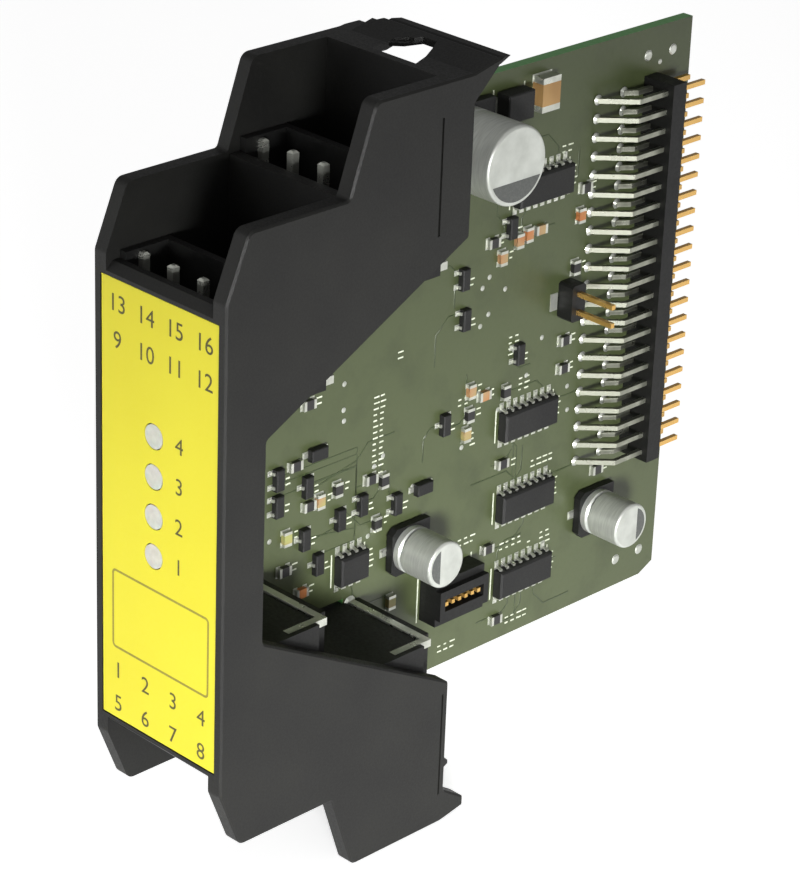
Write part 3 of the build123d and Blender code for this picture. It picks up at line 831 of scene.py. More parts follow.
def cones(
    name: str, points: Sequence[Vector], finish: Finish, radius: float, top: float,
    height: float, outward: float,
) -> bpy.types.Object:
    """Sets a small cone of solder round each lead.

    Args:
        name: The piece's name.
        points: The foot of each cone, in metres.
        finish: Their finish.
        radius: The radius at the foot in metres.
        top: The radius at the top in metres.
        height: The height in metres.
        outward: 1 for cones that rise along +X and -1 for -X.

    Returns:
        One piece with all the cones.
    """
    pattern = NodePattern(name, finish)
    pattern.size("Foot radius", radius)
    pattern.size("Top radius", top)
    pattern.size("Height", height)
    given = pattern.inputs()
    cone = pattern.add("GeometryNodeMeshCone")
    cone.inputs["Vertices"].default_value = CONE_SIDES
    pattern.link(given.outputs["Top radius"], cone.inputs["Radius Top"])
    pattern.link(given.outputs["Foot radius"], cone.inputs["Radius Bottom"])
    pattern.link(given.outputs["Height"], cone.inputs["Depth"])
    turn = pattern.add("GeometryNodeTransform")
    turn.inputs["Rotation"].default_value = (0.0, math.radians(90 * outward), 0.0)
    pattern.link(cone.outputs["Mesh"], turn.inputs["Geometry"])
    copies = pattern.copies(given.outputs["Guide"], turn.outputs[0])
    pattern.end(copies.outputs[0])
    guide = guide_points(points, [Vector((1, 1, 1))] * len(points))
    return pattern.bake(name, guide)


def tracks(
    name: str, runs: Sequence[Sequence[Vector]], finish: Finish, width: float, rise: float
) -> bpy.types.Object:
    """Draws flat copper tracks along runs that lie on the board's face.

    Args:
        name: The piece's name.
        runs: The corner points of each track, in metres.
        finish: Their finish.
        width: The width of a track in metres.
        rise: How far a track stands out of the face, in metres.

    Returns:
        One piece with all the tracks.
    """
    level = runs[0][0].x
    points: list[Point] = []
    edges: list[tuple[int, int]] = []
    for run in runs:
        start = len(points)
        points += [(0.0, point.y, point.z) for point in run]
        edges += [(start + i, start + i + 1) for i in range(len(run) - 1)]
    mesh = bpy.data.meshes.new("guide")
    mesh.from_pydata(points, edges, [])
    pattern = NodePattern(name, finish)
    pattern.size("Width", width)
    pattern.size("Flatness", rise / (width / 2))
    pattern.size("Level", level)
    given = pattern.inputs()
    curve = pattern.add("GeometryNodeMeshToCurve")
    half = pattern.add("ShaderNodeMath", operation="MULTIPLY")
    half.inputs[1].default_value = 0.5
    circle = pattern.add("GeometryNodeCurvePrimitiveCircle")
    circle.inputs["Resolution"].default_value = TRACK_SIDES
    tube = pattern.add("GeometryNodeCurveToMesh")
    tube.inputs["Fill Caps"].default_value = True
    place = pattern.add("GeometryNodeInputPosition")
    split = pattern.add("ShaderNodeSeparateXYZ")
    flat = pattern.add("ShaderNodeMath", operation="MULTIPLY_ADD")
    joined = pattern.add("ShaderNodeCombineXYZ")
    move = pattern.add("GeometryNodeSetPosition")
    pattern.link(given.outputs["Guide"], curve.inputs[0])
    pattern.link(given.outputs["Width"], half.inputs[0])
    pattern.link(half.outputs[0], circle.inputs["Radius"])
    pattern.link(curve.outputs[0], tube.inputs["Curve"])
    pattern.link(circle.outputs[0], tube.inputs["Profile Curve"])
    pattern.link(place.outputs[0], split.inputs[0])
    pattern.link(split.outputs["X"], flat.inputs[0])
    pattern.link(given.outputs["Flatness"], flat.inputs[1])
    pattern.link(given.outputs["Level"], flat.inputs[2])
    pattern.link(flat.outputs[0], joined.inputs["X"])
    pattern.link(split.outputs["Y"], joined.inputs["Y"])
    pattern.link(split.outputs["Z"], joined.inputs["Z"])
    pattern.link(tube.outputs[0], move.inputs["Geometry"])
    pattern.link(joined.outputs[0], move.inputs["Position"])
    pattern.end(move.outputs[0])
    return pattern.bake(name, mesh)


# Sub-assemblies


class Cut(Enum):
    """What a shape does to the piece that it meets."""

    ADD = "UNION"
    TAKE = "DIFFERENCE"


@dataclass(frozen=True)
class Trim:
    """A straight prism that is added to the housing or taken from it.

    The outline is (y, z) for a prism across the housing and (x, y) for an upright one, and
    the reach is where the prism starts and ends. All of it is in millimetres.
    """

    name: str
    cut: Cut
    outline: tuple[Place, ...]
    reach: Place
    upright: bool = False

    def shape(self) -> bpy.types.Object:
        """The prism as a closed piece."""
        points = [
            spot(u, v, level) if self.upright else spot(level, u, v)
            for level in self.reach for u, v in self.outline
        ]
        return piece_from(self.name, points, prism_faces(len(self.outline)), Finish.HOUSING)


@dataclass
class Housing:
    """The black stepped housing, with the roof's lip and latch window in their final form."""

    node: str = "housing"
    trims: tuple[Trim, ...] = (
        Trim(
            "tip of the roof's lip", Cut.ADD,
            ((41.2, 49.8), (42.3, 50.44), (43.3, 50.46), (41.7, 49.72)), (-9.3, 11.1),
        ),
        Trim(
            "corner of the latch window", Cut.ADD,
            ((-3.2, 37.7), (-1.0, 39.9), (-3.2, 39.9)), (49.0, 49.62), True,
        ),
        Trim(
            "lower groove's first place", Cut.ADD,
            ((32.3, -45.4), (32.3, -30.8), (32.85, -30.8), (32.85, -45.4)), (10.6, 11.25),
        ),
        Trim(
            "latch window", Cut.TAKE,
            ((-3.1, 34.7), (4.4, 34.7), (1.9, 40.6), (-0.3, 40.6), (-3.1, 37.8)),
            (40.0, 60.0), True,
        ),
        Trim(
            "underside of the roof", Cut.TAKE,
            ((34.7, 48.2), (34.7, 48.6), (37.4, 48.6), (41.7, 49.64), (40.2, 48.2)),
            (-9.05, 9.05),
        ),
        Trim(
            "lip's corner over the board", Cut.TAKE,
            ((-12.0, 40.8), (-8.3, 40.8), (-6.6, 43.4), (-6.6, 50.0), (-12.0, 50.0)),
            (44.0, 60.0), True,
        ),
        Trim(
            "left wall's end", Cut.TAKE,
            ((37.4, 49.5), (37.4, 60.0), (50.0, 60.0), (50.0, 49.5)), (-12.0, -9.05),
        ),
        Trim(
            "lower groove", Cut.TAKE,
            ((36.6, -45.3), (36.6, -30.9), (36.9, -30.9), (36.9, -45.3)), (11.05, 12.0),
        ),
    )

    def build(self) -> None:
        """Trims a copy of the housing and gives it its grain."""
        dress(self.node, Finish.HOUSING)
        mesh = bpy.data.meshes.new("housing_shell")
        welded = bmesh.new()
        welded.from_mesh(bpy.data.objects[self.node].data)
        bmesh.ops.remove_doubles(welded, verts=welded.verts, dist=1e-6)
        welded.to_mesh(mesh)
        welded.free()
        shell = place_mesh("housing_shell", mesh)
        shapes = [trim.shape() for trim in self.trims]
        for trim, shape in zip(self.trims, shapes):
            step = shell.modifiers.new(trim.name, "BOOLEAN")
            step.object = shape
            step.operation = trim.cut.value
            step.solver = "MANIFOLD"
        trimmed = evaluated_mesh(shell)
        shell.modifiers.clear()
        shell.data = trimmed
        for shape in shapes:
            bpy.data.objects.remove(shape)
        known = trimmed.attributes.get("custom_normal")
        if known is not None:
            trimmed.attributes.remove(known)
        trimmed.shade_flat()
        trimmed.materials.clear()
        trimmed.materials.append(Finish.HOUSING.material())
        settle(shell)
        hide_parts(self.node)


@dataclass
class FrontPanel:
    """The yellow label, its plain numbers and frame, and the indicator lenses."""

    ink_height: float = 0.03
    digit_height: float = 2.2
    digit_share: float = 0.72
    digit_steps: int = 4
    caption_height: float = 2.1
    columns: tuple[float, ...] = (-7.2, -2.3, 2.65, 7.6)
    rows: tuple[tuple[float, int], ...] = ((25.3, 13), (20.8, 9), (-21.9, 1), (-26.4, 5))
    caption_x: float = 3.5
    captions: tuple[tuple[float, int], ...] = ((11.3, 4), (6.2, 3), (1.1, 2), (-4.0, 1))
    frame_x: tuple[float, float] = (-8.1, 8.7)
    frame_z: tuple[float, float] = (-18.7, -8.5)
    frame_radius: float = 0.5
    frame_line: float = 0.3
    frame_steps: int = 6

    def build(self) -> None:
        """Builds the print and dresses the label and the indicators."""
        dress("front_label", Finish.LABEL)
        dress("indicator_lenses", Finish.LENS)
        dress("indicator_leds", Finish.LED)
        dress("indicator_led_leads", Finish.TIN)
        settle(self.numbers())
        settle(self.outline())

    def face_y(self) -> float:
        """The label's front face, in metres."""
        return node_box("front_label").low.y

    def numbers(self) -> bpy.types.Object:
        """Prints every number on the label.

        Returns:
            One piece with all the digits.
        """
        wanted = [
            (x, z, first + i, self.digit_height)
            for z, first in self.rows for i, x in enumerate(self.columns)
        ]
        wanted += [
            (self.caption_x, z, number, self.caption_height) for z, number in self.captions
        ]
        joined = bmesh.new()
        for x, z, number, height in wanted:
            joined.from_mesh(self.digit_mesh(x, z, number, height))
        mesh = bpy.data.meshes.new("printed_numbers")
        joined.to_mesh(mesh)
        joined.free()
        mesh.materials.append(Finish.INK.material())
        return place_mesh("printed_numbers", mesh)

    def digit_mesh(self, x: float, z: float, number: int, height: float) -> bpy.types.Mesh:
        """Makes one number as a thin mesh in its place.

        Args:
            x: The number's middle across the label, in millimetres.
            z: Its middle height, in millimetres.
            number: What it says.
            height: The height of a digit, in millimetres.

        Returns:
            The placed mesh.
        """
        curve = bpy.data.curves.new("number", "FONT")
        curve.body = str(number)
        curve.size = height / self.digit_share * MM
        curve.extrude = self.ink_height / 2 * MM
        curve.align_x = "CENTER"
        curve.align_y = "CENTER"
        curve.resolution_u = self.digit_steps
        text = bpy.data.objects.new("number", curve)
        bpy.context.scene.collection.objects.link(text)
        mesh = evaluated_mesh(text)
        middle = spot(x, 0.0, z)
        middle.y = self.face_y()
        mesh.transform(Matrix.Translation(middle) @ Matrix.Rotation(math.radians(90), 4, "X"))
        bpy.data.objects.remove(text)
        return mesh

    def outline(self) -> bpy.types.Object:
        """Prints the thin rounded frame of the writing field.

        Returns:
            The frame as a closed flat ring.
        """
        inset = self.frame_radius
        left, right = self.frame_x[0] + inset, self.frame_x[1] - inset
        low, high = self.frame_z[0] + inset, self.frame_z[1] - inset
        corners = ((right, high, 0), (left, high, 90), (left, low, 180), (right, low, 270))
        rings: list[list[Place]] = []
        for grow in (self.frame_line / 2, -self.frame_line / 2):
            radius = self.frame_radius + grow
            ring: list[Place] = []
            for x, z, turn in corners:
                for step in range(self.frame_steps + 1):
                    angle = math.radians(turn + step * 90 / self.frame_steps)
                    ring.append((x + radius * math.cos(angle), z + radius * math.sin(angle)))
            rings.append(ring)
        face = self.face_y()
        lift = self.ink_height / 2 * MM
        points: list[Vector] = []
        for ring in rings:
            for y in (face - lift, face + lift):
                for x, z in ring:
                    point = spot(x, 0.0, z)
                    point.y = y
                    points.append(point)
        count = len(rings[0])
        faces: list[list[int]] = []
        for i in range(count):
            j = (i + 1) % count
            outer_front, outer_back, inner_front, inner_back = (k * count for k in range(4))
            faces.append([outer_front + i, outer_front + j, inner_front + j, inner_front + i])
            faces.append([outer_back + i, inner_back + i, inner_back + j, outer_back + j])
            faces.append([outer_front + i, outer_back + i, outer_back + j, outer_front + j])
            faces.append([inner_front + i, inner_front + j, inner_back + j, inner_back + i])
        return piece_from("printed_frame", points, faces, Finish.PALE_INK)


class Tail(Enum):
    """Which end of a lead's box goes through the board."""

    LOW_Y = "low"
    HIGH_Y = "high"
    MIDDLE = "middle"


@dataclass
class LogicBoard:
    """The circuit board with its copper, print and solder."""

    pad_rise: float = 0.04
    pad_margin: float = 0.16
    legend_rise: float = 0.02
    legend_line: float = 0.2
    legend_gap: float = 0.35
    tick_length: Place = (0.45, 0.95)
    tick_pitch: float = 0.8
    tick_column: float = 1.15
    chip_tick_offset: Place = (0.9, -1.6)
    part_tick_offset: float = 0.95
    track_rise: float = 0.02
    track_front: float = 34.0
    track_margin: float = 2.0
    cone_share: float = 0.55
    cone_heights: tuple[tuple[int, str, float], ...] = (
        (1, "component_side", 0.28), (-1, "solder_side", 0.55),
    )
    fixing_dot: Point = (0.75, 0.55, 0.12)
    via_dot: Point = (0.36, 0.2, 0.06)
    track_width: float = 0.26
    track_steps: tuple[Place, ...] = ((0.8, 2.5), (0.8, 2.2), (2.0, 7.0))
    seed: int = 7
    surface_leads: tuple[str, ...] = (
        "chip_leads", "transistor_leads", "chip_end_caps", "small_diode_tabs",
        "power_diode_tabs", "large_ceramic_caps", "capacitor_leads",
    )
    through_leads: tuple[tuple[str, Tail, float, float], ...] = (
        ("edge_header_outer_pins", Tail.LOW_Y, 0.32, 0.72),
        ("edge_header_inner_pins", Tail.LOW_Y, 0.32, 0.72),
        ("jumper_header_pins", Tail.MIDDLE, 0.0, 0.72),
        ("indicator_led_leads", Tail.HIGH_Y, 0.25, 0.7),
        ("top_front_terminal_pins", Tail.HIGH_Y, 0.5, 1.05),
        ("top_rear_terminal_pins", Tail.HIGH_Y, 0.5, 1.05),
        ("bottom_front_terminal_pins", Tail.HIGH_Y, 0.5, 1.05),
        ("bottom_rear_terminal_pins", Tail.HIGH_Y, 0.5, 1.05),
    )
    fixing_dots: tuple[Place, ...] = ((87.9, 36.6), (92.7, 36.5), (88.4, -36.3), (93.2, -36.3))
    via_dots: tuple[Place, ...] = (
        (35.1, 5.7), (35.1, 2.2), (35.2, 0.7), (90.3, 35.3), (34.8, -13.9), (38.6, -18.5),
        (23.1, -11.9), (47.7, -12.2), (40.7, -7.2), (42.2, -6.2), (50.7, 16.5), (60.1, 13.2),
        (58.9, 12.0), (60.2, 8.1), (58.8, 6.8), (63.1, 10.8), (70.6, 2.0), (65.4, 1.7),
        (56.4, -9.4), (64.6, -5.0), (68.0, -2.6), (62.9, -6.0), (76.1, -6.5), (76.4, -10.0),
    )
    via_row: tuple[Place, Place, int] = ((37.2, -16.9), (1.4, 0.1), 3)
    solder_bars: tuple[Place, ...] = ((72.4, 6.5),)
    bar_size: Place = (1.3, 2.4)
    print_blocks: tuple[tuple[float, float, int, int], ...] = (
        (72.4, 26.9, 2, 2), (64.3, 1.2, 2, 4), (66.6, -4.4, 2, 3), (66.0, -15.0, 1, 2),
        (69.8, -16.4, 4, 2), (64.6, -27.0, 4, 2), (70.0, -28.4, 1, 2), (72.4, -28.6, 2, 3),
        (66.4, -38.6, 4, 2), (55.4, -23.8, 4, 2), (53.6, -38.4, 3, 2), (40.3, -7.4, 2, 13),
        (44.2, 6.4, 1, 2), (57.9, -9.6, 1, 3), (55.4, -3.4, 2, 2),
    )
    faces_x: tuple[float, float] = field(init=False, default=(0.0, 0.0))

    def build(self) -> None:
        """Dresses the board and lays everything that lies on it."""
        dress("circuit_board", Finish.BOARD)
        box = node_box("circuit_board")
        self.faces_x = (box.low.x, box.high.x)
        settle(patches("solder_pads", self.pads(), Finish.SOLDER))
        for side, label, rise in self.cone_heights:
            height = rise * MM
            for reach, feet in self.solder_feet(side).items():
                name = f"solder_cones_{label}_{int(reach * 100)}"
                level = [foot + Vector((side * height / 2, 0, 0)) for foot in feet]
                piece = cones(
                    name, level, Finish.SOLDER, reach * MM, reach * self.cone_share * MM,
                    height, side,
                )
                settle(piece)
        settle(patches("board_legend", self.legend(), Finish.LEGEND))
        copper = tracks(
            "copper_tracks", self.runs(), Finish.MASKED_COPPER,
            self.track_width * MM, self.track_rise * MM,
        )
        settle(copper)
        (row_y, row_z), (step_y, step_z), count = self.via_row
        row = tuple((row_y + i * step_y, row_z + i * step_z) for i in range(count))
        for name, places, dot in (
            ("fixing_dots", self.fixing_dots, self.fixing_dot),
            ("via_dots", self.via_dots + row, self.via_dot),
        ):
            feet = [self.on_face(*place) for place in places]
            radius, top, height = (value * MM for value in dot)
            settle(cones(name, feet, Finish.SOLDER, radius, top, height, 1))

    def on_face(self, y: float, z: float) -> Vector:
        """Finds a place on the component side of the board.

        Args:
            y: Distance behind the front face, in millimetres.
            z: Height above mid-height, in millimetres.

        Returns:
            The place in metres.
        """
        point = spot(0.0, y, z)
        point.x = self.faces_x[1]
        return point

    def patch(self, low: Vector, high: Vector, rise: float) -> SolidBox:
        """A thin patch on the component side.

        Args:
            low: Its lowest corner, of which only y and z count.
            high: Its highest corner, of which only y and z count.
            rise: How far it stands out of the face, in millimetres.

        Returns:
            The patch's box.
        """
        top = self.faces_x[1]
        return SolidBox(
            Vector((top - rise * MM, low.y, low.z)), Vector((top + rise * MM, high.y, high.z))
        )

    def pads(self) -> list[SolidBox]:
        """The solder pads under every surface-mounted lead."""
        margin = Vector((0, self.pad_margin, self.pad_margin)) * MM
        found: list[SolidBox] = []
        for node in self.surface_leads:
            for box in solid_boxes(node):
                found.append(self.patch(box.low - margin, box.high + margin, self.pad_rise))
        half = Vector((0, *self.bar_size)) * MM / 2
        for place in self.solder_bars:
            middle = self.on_face(*place)
            found.append(self.patch(middle - half, middle + half, 3 * self.pad_rise))
        return found

    def solder_feet(self, side: int) -> dict[float, list[Vector]]:
        """The places where leads pass through a face of the board.

        Args:
            side: 1 for the component side and -1 for the other.

        Returns:
            The places, by the radius of their solder in millimetres.
        """
        found: dict[float, list[Vector]] = {}
        level = self.faces_x[1] if side > 0 else self.faces_x[0]
        for node, tail, half, reach in self.through_leads:
            for box in solid_boxes(node):
                y = {
                    Tail.LOW_Y: box.low.y + half * MM,
                    Tail.HIGH_Y: box.high.y - half * MM,
                    Tail.MIDDLE: box.middle.y,
                }[tail]
                z = box.middle.z
                if "terminal" in node:
                    z = box.low.z if "top" in node else box.high.z
                    z += half * MM if "top" in node else -half * MM
                found.setdefault(reach, []).append(Vector((level, y, z)))
        return found

    def legend(self) -> list[SolidBox]:
        """Plain outlines and ticks of the white board print."""
        marks: list[SolidBox] = []
        gap = self.legend_gap * MM
        line = self.legend_line * MM
        beside, below = (offset * MM for offset in self.chip_tick_offset)
        chance = random.Random(self.seed)
        for node in ("chip_bodies", "service_socket_body", "power_diode_body"):
            for box in solid_boxes(node):
                low = box.low - Vector((0, gap, gap))
                high = box.high + Vector((0, gap, gap))
                marks.append(self.rectangle(low.y - line, low.z, low.y, high.z))
                marks.append(self.rectangle(high.y, low.z, high.y + line, high.z))
                marks += self.ticks(high.y + beside, box.middle.z + below, 4, chance)
        for node in ("transistor_bodies", "chip_resistors", "chip_ceramics"):
            for box in solid_boxes(node):
                y = box.high.y + self.part_tick_offset * MM
                marks += self.ticks(y, box.low.z, 2, chance)
        for y, z, columns, rows in self.print_blocks:
            start = spot(0.0, y, z)
            for column in range(columns):
                across = start.y + self.tick_column * column * MM
                marks += self.ticks(across, start.z, rows, chance)
        return marks

    def ticks(
        self, y: float, z: float, count: int, chance: random.Random
    ) -> list[SolidBox]:
        """A short upright row of plain ticks.

        Args:
            y: Where the row starts, in metres.
            z: Where the row starts, in metres.
            count: How many ticks there are.
            chance: Where the small differences come from.

        Returns:
            The box of each tick.
        """
        found: list[SolidBox] = []
        for i in range(count):
            length = chance.uniform(*self.tick_length) * MM
            level = z + i * self.tick_pitch * MM
            line = self.legend_line * MM
            found.append(self.rectangle(y, level, y + length, level + line))
        return found

    def rectangle(self, y0: float, z0: float, y1: float, z1: float) -> SolidBox:
        """A thin printed rectangle, given in metres."""
        return self.patch(Vector((0, y0, z0)), Vector((0, y1, z1)), self.legend_rise)

    def runs(self) -> list[list[Vector]]:
        """Corner points of the copper tracks, worked out with a fixed seed."""
        chance = random.Random(self.seed)
        found: list[list[Vector]] = []
        starts = [box.middle for box in solid_boxes("chip_leads")]
        starts += [box.middle for box in solid_boxes("transistor_leads")]
        limit = node_box("circuit_board")
        front, margin = self.track_front * MM, self.track_margin * MM
        for start in starts[::2]:
            side, lift = chance.choice((-1, 1)), chance.choice((-1, 1))
            first, slant, last = (chance.uniform(*reach) * MM for reach in self.track_steps)
            steps = [(side * first, 0.0), (side * slant, lift * slant), (0.0, lift * last)]
            if chance.random() < 0.5:
                steps = [(0.0, lift * first), steps[1], (side * last, 0.0)]
            y, z = start.y, start.z
            run = [Vector((self.faces_x[1], y, z))]
            for step_y, step_z in steps:
                y = min(max(y + step_y, limit.low.y + front), limit.high.y - margin)
                z = min(max(z + step_z, limit.low.z + margin), limit.high.z - margin)
                run.append(Vector((self.faces_x[1], y, z)))
            found.append(run)
        return found


@dataclass
class BoardParts:
    """Everything that is soldered to the board."""

    finishes: tuple[tuple[str, Finish], ...] = (
        ("large_capacitor_base", Finish.BASE),
        ("large_capacitor_can", Finish.CAN),
        ("small_capacitor_bases", Finish.BASE),
        ("small_capacitor_cans", Finish.CAN),
        ("capacitor_leads", Finish.TIN),
        ("chip_bodies", Finish.EPOXY),
        ("chip_leads", Finish.TIN),
        ("transistor_bodies", Finish.EPOXY),
        ("transistor_leads", Finish.TIN),
        ("power_diode_body", Finish.EPOXY),
        ("power_diode_tabs", Finish.TIN),
        ("small_diode_bodies", Finish.EPOXY),
        ("small_diode_tabs", Finish.TIN),
        ("chip_resistors", Finish.RESISTOR),
        ("chip_ceramics", Finish.CERAMIC),
        ("chip_end_caps", Finish.TIN),
        ("large_ceramic_body", Finish.TAN),
        ("large_ceramic_caps", Finish.TIN),
        ("jumper_header_body", Finish.CONNECTOR),
        ("jumper_header_pins", Finish.GOLD),
        ("service_socket_body", Finish.CONNECTOR),
        ("service_socket_contacts", Finish.GOLD),
    )
    segment_share: float = 0.42
    segment_steps: int = 24
    segment_turns: tuple[tuple[str, tuple[float, ...]], ...] = (
        ("large_capacitor_can", (0.0,)),
        ("small_capacitor_cans", (-90.0, 90.0)),
    )
    print_rise: float = 0.02
    rim: float = 0.55
    more_resistors: tuple[tuple[float, float, bool], ...] = (
        (26.9, -2.7, False), (29.3, -8.9, False), (42.2, -9.5, True), (63.9, -3.7, True),
        (63.9, -13.9, False), (61.9, -25.7, False), (64.2, -37.0, False),
    )
    more_ceramics: tuple[tuple[float, float, bool], ...] = (
        (44.2, -27.4, True), (56.8, -7.6, True), (64.9, 17.0, True), (68.8, 17.6, False),
    )
    chip_length: float = 2.0
    chip_width: float = 1.25
    chip_height: float = 0.65
    chip_cap: float = 0.4
    chip_cap_rise: float = 0.02
    chip_pad: Place = (0.15, 0.05)

    def build(self) -> None:
        """Dresses the parts, adds the smallest ones and prints the polarity segments."""
        self.add_chips()
        for node, finish in self.finishes:
            dress(node, finish)
        for node, turns in self.segment_turns:
            cans = sorted(solid_boxes(node), key=lambda box: box.low.y)
            for number, (can, turn) in enumerate(zip(cans, turns), 1):
                name = f"{node}_segment_{number}"
                settle(self.segment(name, can, math.radians(turn)))

    def add_chips(self) -> None:
        """Adds the smallest chips that the solid model lacks, with their end caps."""
        caps: list[SolidBox] = []
        pads: list[SolidBox] = []
        cap_height = self.chip_height + self.chip_cap_rise
        margin, pad_height = self.chip_pad
        for name, places, finish, slot in (
            ("more_chip_resistors", self.more_resistors, Finish.RESISTOR, "resistor_ceramic"),
            ("more_chip_ceramics", self.more_ceramics, Finish.CERAMIC, "capacitor_ceramic"),
        ):
            bodies: list[SolidBox] = []
            for y, z, upright in places:
                reach = (0.0, 1.0) if upright else (1.0, 0.0)
                body = self.chip_length / 2 - self.chip_cap
                bodies.append(self.chip_box(y, z, reach, -body, body, self.chip_height))
                for side in (-1, 1):
                    inner, outer = side * body, side * self.chip_length / 2
                    low, high = min(inner, outer), max(inner, outer)
                    caps.append(self.chip_box(y, z, reach, low, high, cap_height))
                    pads.append(
                        self.chip_box(y, z, reach, low - margin, high + margin, pad_height)
                    )
            settle(patches(name, bodies, finish))
        settle(patches("more_chip_end_caps", caps, Finish.TIN))
        settle(patches("more_chip_pads", pads, Finish.SOLDER))

    def chip_box(
        self, y: float, z: float, reach: Place, low: float, high: float, height: float
    ) -> SolidBox:
        """The box of one stretch of a small chip.

        Args:
            y: The chip's middle from the front, in millimetres.
            z: Its middle height, in millimetres.
            reach: The direction that it lies in.
            low: Where the stretch starts along the chip, in millimetres.
            high: Where it ends, in millimetres.
            height: How far it stands off the board, in millimetres.

        Returns:
            The box, in metres.
        """
        half = self.chip_width / 2
        along_y, along_z = reach
        start = spot(0.0, y + low * along_y - half * along_z, z + low * along_z - half * along_y)
        end = spot(0.0, y + high * along_y + half * along_z, z + high * along_z + half * along_y)
        level = node_box("circuit_board").high.x
        start.x, end.x = level, level + height * MM
        return SolidBox(start, end)

    def segment(self, name: str, can: SolidBox, turn: float) -> bpy.types.Object:
        """Prints the dark segment on the end of a can.

        Args:
            name: The piece's name.
            can: The can's box.
            turn: How far the segment is turned from the lower side, in radians.

        Returns:
            The segment as a thin closed plate.
        """
        radius = can.size.y / 2 - self.rim * MM
        middle = can.middle
        chord = radius * self.segment_share
        start = math.asin(chord / radius)
        rim: list[Place] = []
        for i in range(self.segment_steps + 1):
            angle = turn - start - (math.pi - 2 * start) * i / self.segment_steps
            rim.append((radius * math.cos(angle), radius * math.sin(angle)))
        rise = self.print_rise * MM
        points = [
            Vector((x, middle.y + y, middle.z + z))
            for x in (can.high.x - rise, can.high.x + rise) for y, z in rim
        ]
        return piece_from(name, points, prism_faces(len(rim)), Finish.SEGMENT)


@dataclass
class Connectors:
    """The four terminal headers and the edge header."""

    places: tuple[str, ...] = ("top_front", "top_rear", "bottom_front", "bottom_rear")

    def build(self) -> None:
        """Dresses the headers and their contacts."""
        for place in self.places:
            dress(f"{place}_terminal_header", Finish.CONNECTOR)
            dress(f"{place}_terminal_pins", Finish.TIN)
        dress("edge_header_body", Finish.CONNECTOR)
        dress("edge_header_outer_pins", Finish.PINS)
        dress("edge_header_inner_pins", Finish.PINS)


# Studio


@dataclass(frozen=True)
class SoftBox:
    """A soft square lamp, aimed at a place given in metres."""

    name: str
    place: Point
    size: float
    watts: float
    aim: Point = (0.0, 0.0, ORIGIN_Z * MM)
    spread: float = 180.0


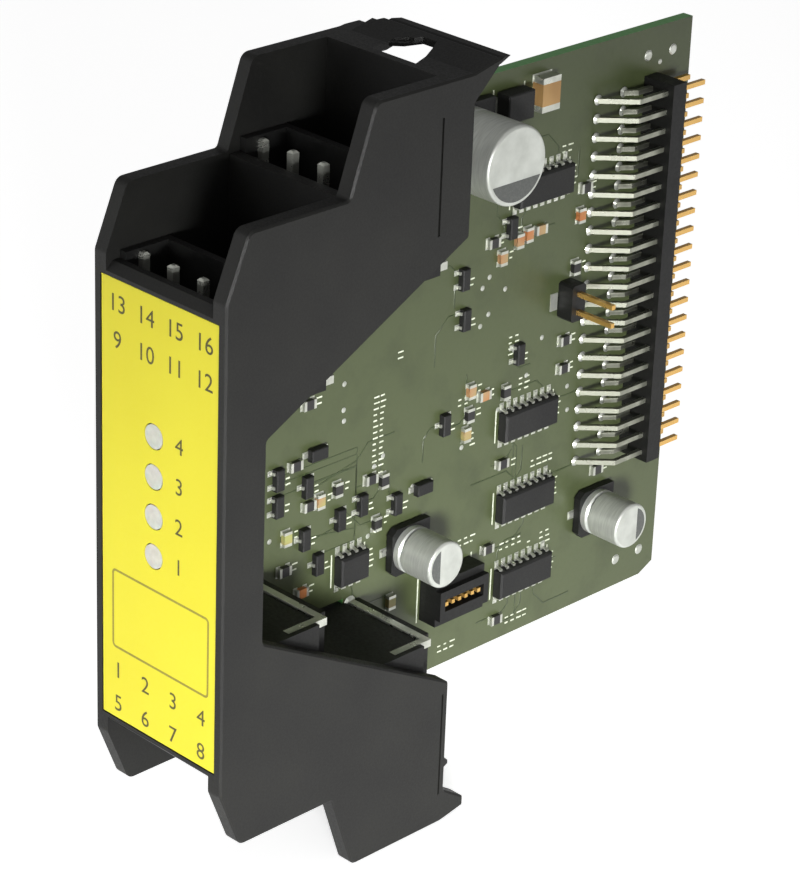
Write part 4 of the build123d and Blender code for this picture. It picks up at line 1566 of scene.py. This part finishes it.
@dataclass
class Studio:
    """The floor, the lamps, the sky and the camera."""

    lamps: tuple[SoftBox, ...] = (
        SoftBox("key lamp", (-0.40, -0.60, 0.40), 0.5, 0.75),
        SoftBox("fill lamp", (0.70, -0.20, 0.25), 0.5, 0.45),
        SoftBox("top lamp", (0.05, 0.10, 0.75), 0.6, 0.24),
        SoftBox("low lamp", (0.42, -0.30, 0.05), 0.12, 0.13, (0.0, -0.008, 0.015), 22.0),
    )
    sky: float = 0.22
    floor_size: float = 6.0
    floor_colour: Colour = (247, 247, 247)
    floor_glow: float = 0.7
    azimuth: float = 44.49
    elevation: float = 25.15
    roll: float = 2.2
    distance: float = 395.53
    slide: tuple[float, float] = (-0.77, -1.04)
    aim_y: float = 40.0
    focal_pixels: float = 3230.89
    frame_pixels: float = 880.0
    sensor: float = 36.0
    clip: tuple[float, float] = (0.01, 20.0)

    def build(self) -> None:
        """Builds the studio."""
        scene = bpy.context.scene
        scene.view_settings.view_transform = "Standard"
        self.floor()
        self.world()
        for lamp in self.lamps:
            self.lamp(lamp)
        self.camera()

    def floor(self) -> None:
        """Lays a plain pale floor that looks white and keeps the shadow."""
        half = self.floor_size / 2
        mesh = bpy.data.meshes.new("floor")
        corners = [(-half, -half, 0), (half, -half, 0), (half, half, 0), (-half, half, 0)]
        mesh.from_pydata(corners, [], [(0, 1, 2, 3)])
        sketch = ShaderSketch("floor white")
        sketch.set(
            Base_Color=linear(self.floor_colour), Roughness=0.9, Emission_Color=(1, 1, 1, 1)
        )
        path = sketch.add("ShaderNodeLightPath")
        seen = sketch.add("ShaderNodeMath", operation="MAXIMUM")
        glow = sketch.add("ShaderNodeMath", operation="MULTIPLY")
        glow.inputs[1].default_value = self.floor_glow
        sketch.link(path.outputs["Is Camera Ray"], seen.inputs[0])
        sketch.link(path.outputs["Is Glossy Ray"], seen.inputs[1])
        sketch.link(seen.outputs[0], glow.inputs[0])
        sketch.link(glow.outputs[0], sketch.surface.inputs["Emission Strength"])
        mesh.materials.append(sketch.material)
        place_mesh("floor", mesh)

    def world(self) -> None:
        """Lights the scene softly and shows white behind the floor."""
        world = bpy.data.worlds.new("sky")
        bpy.context.scene.world = world
        world.use_nodes = True
        sketch = TreeSketch(world.node_tree)
        sky = world.node_tree.nodes["Background"]
        sky.inputs["Color"].default_value = (1, 1, 1, 1)
        path = sketch.add("ShaderNodeLightPath")
        strength = sketch.add("ShaderNodeMapRange")
        strength.inputs["To Min"].default_value = self.sky
        strength.inputs["To Max"].default_value = 1.0
        sketch.link(path.outputs["Is Camera Ray"], strength.inputs["Value"])
        sketch.link(strength.outputs["Result"], sky.inputs["Strength"])

    def lamp(self, lamp: SoftBox) -> None:
        """Hangs one soft lamp.

        Args:
            lamp: Its place, size and power.
        """
        light = bpy.data.lights.new(lamp.name, "AREA")
        light.shape = "SQUARE"
        light.size = lamp.size
        light.energy = lamp.watts
        light.spread = math.radians(lamp.spread)
        holder = bpy.data.objects.new(lamp.name, light)
        place = Vector(lamp.place)
        turn = (Vector(lamp.aim) - place).to_track_quat("-Z", "Y").to_matrix().to_4x4()
        holder.matrix_world = Matrix.Translation(place) @ turn
        bpy.context.scene.collection.objects.link(holder)

    def camera(self) -> None:
        """Sets the camera at the photograph's viewing angle."""
        azimuth, elevation, roll = (
            math.radians(angle) for angle in (self.azimuth, self.elevation, self.roll)
        )
        back = Vector((
            math.sin(azimuth) * math.cos(elevation),
            -math.cos(azimuth) * math.cos(elevation),
            math.sin(elevation),
        ))
        right = (-back).cross(Vector((0, 0, 1))).normalized()
        up = right.cross(-back)
        level_right = right * math.cos(roll) + up * math.sin(roll)
        level_up = up * math.cos(roll) - right * math.sin(roll)
        place = spot(0.0, self.aim_y, 0.0) + MM * (
            back * self.distance + level_right * self.slide[0] + level_up * self.slide[1]
        )
        data = bpy.data.cameras.new("camera")
        data.sensor_width = self.sensor
        data.lens = self.focal_pixels * data.sensor_width / self.frame_pixels
        data.clip_start, data.clip_end = self.clip
        holder = bpy.data.objects.new("camera", data)
        turn = Matrix((level_right, level_up, back)).transposed().to_4x4()
        holder.matrix_world = Matrix.Translation(place) @ turn
        bpy.context.scene.collection.objects.link(holder)
        bpy.context.scene.camera = holder


def main() -> None:
    """Builds the dressed module and the studio round it."""
    logging.basicConfig(level=logging.INFO, format="%(message)s")
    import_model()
    builders: Iterable[Callable[[], None]] = (
        Housing().build, FrontPanel().build, LogicBoard().build, BoardParts().build,
        Connectors().build, Studio().build,
    )
    for build in builders:
        build()


if __name__ == "__main__":
    main()
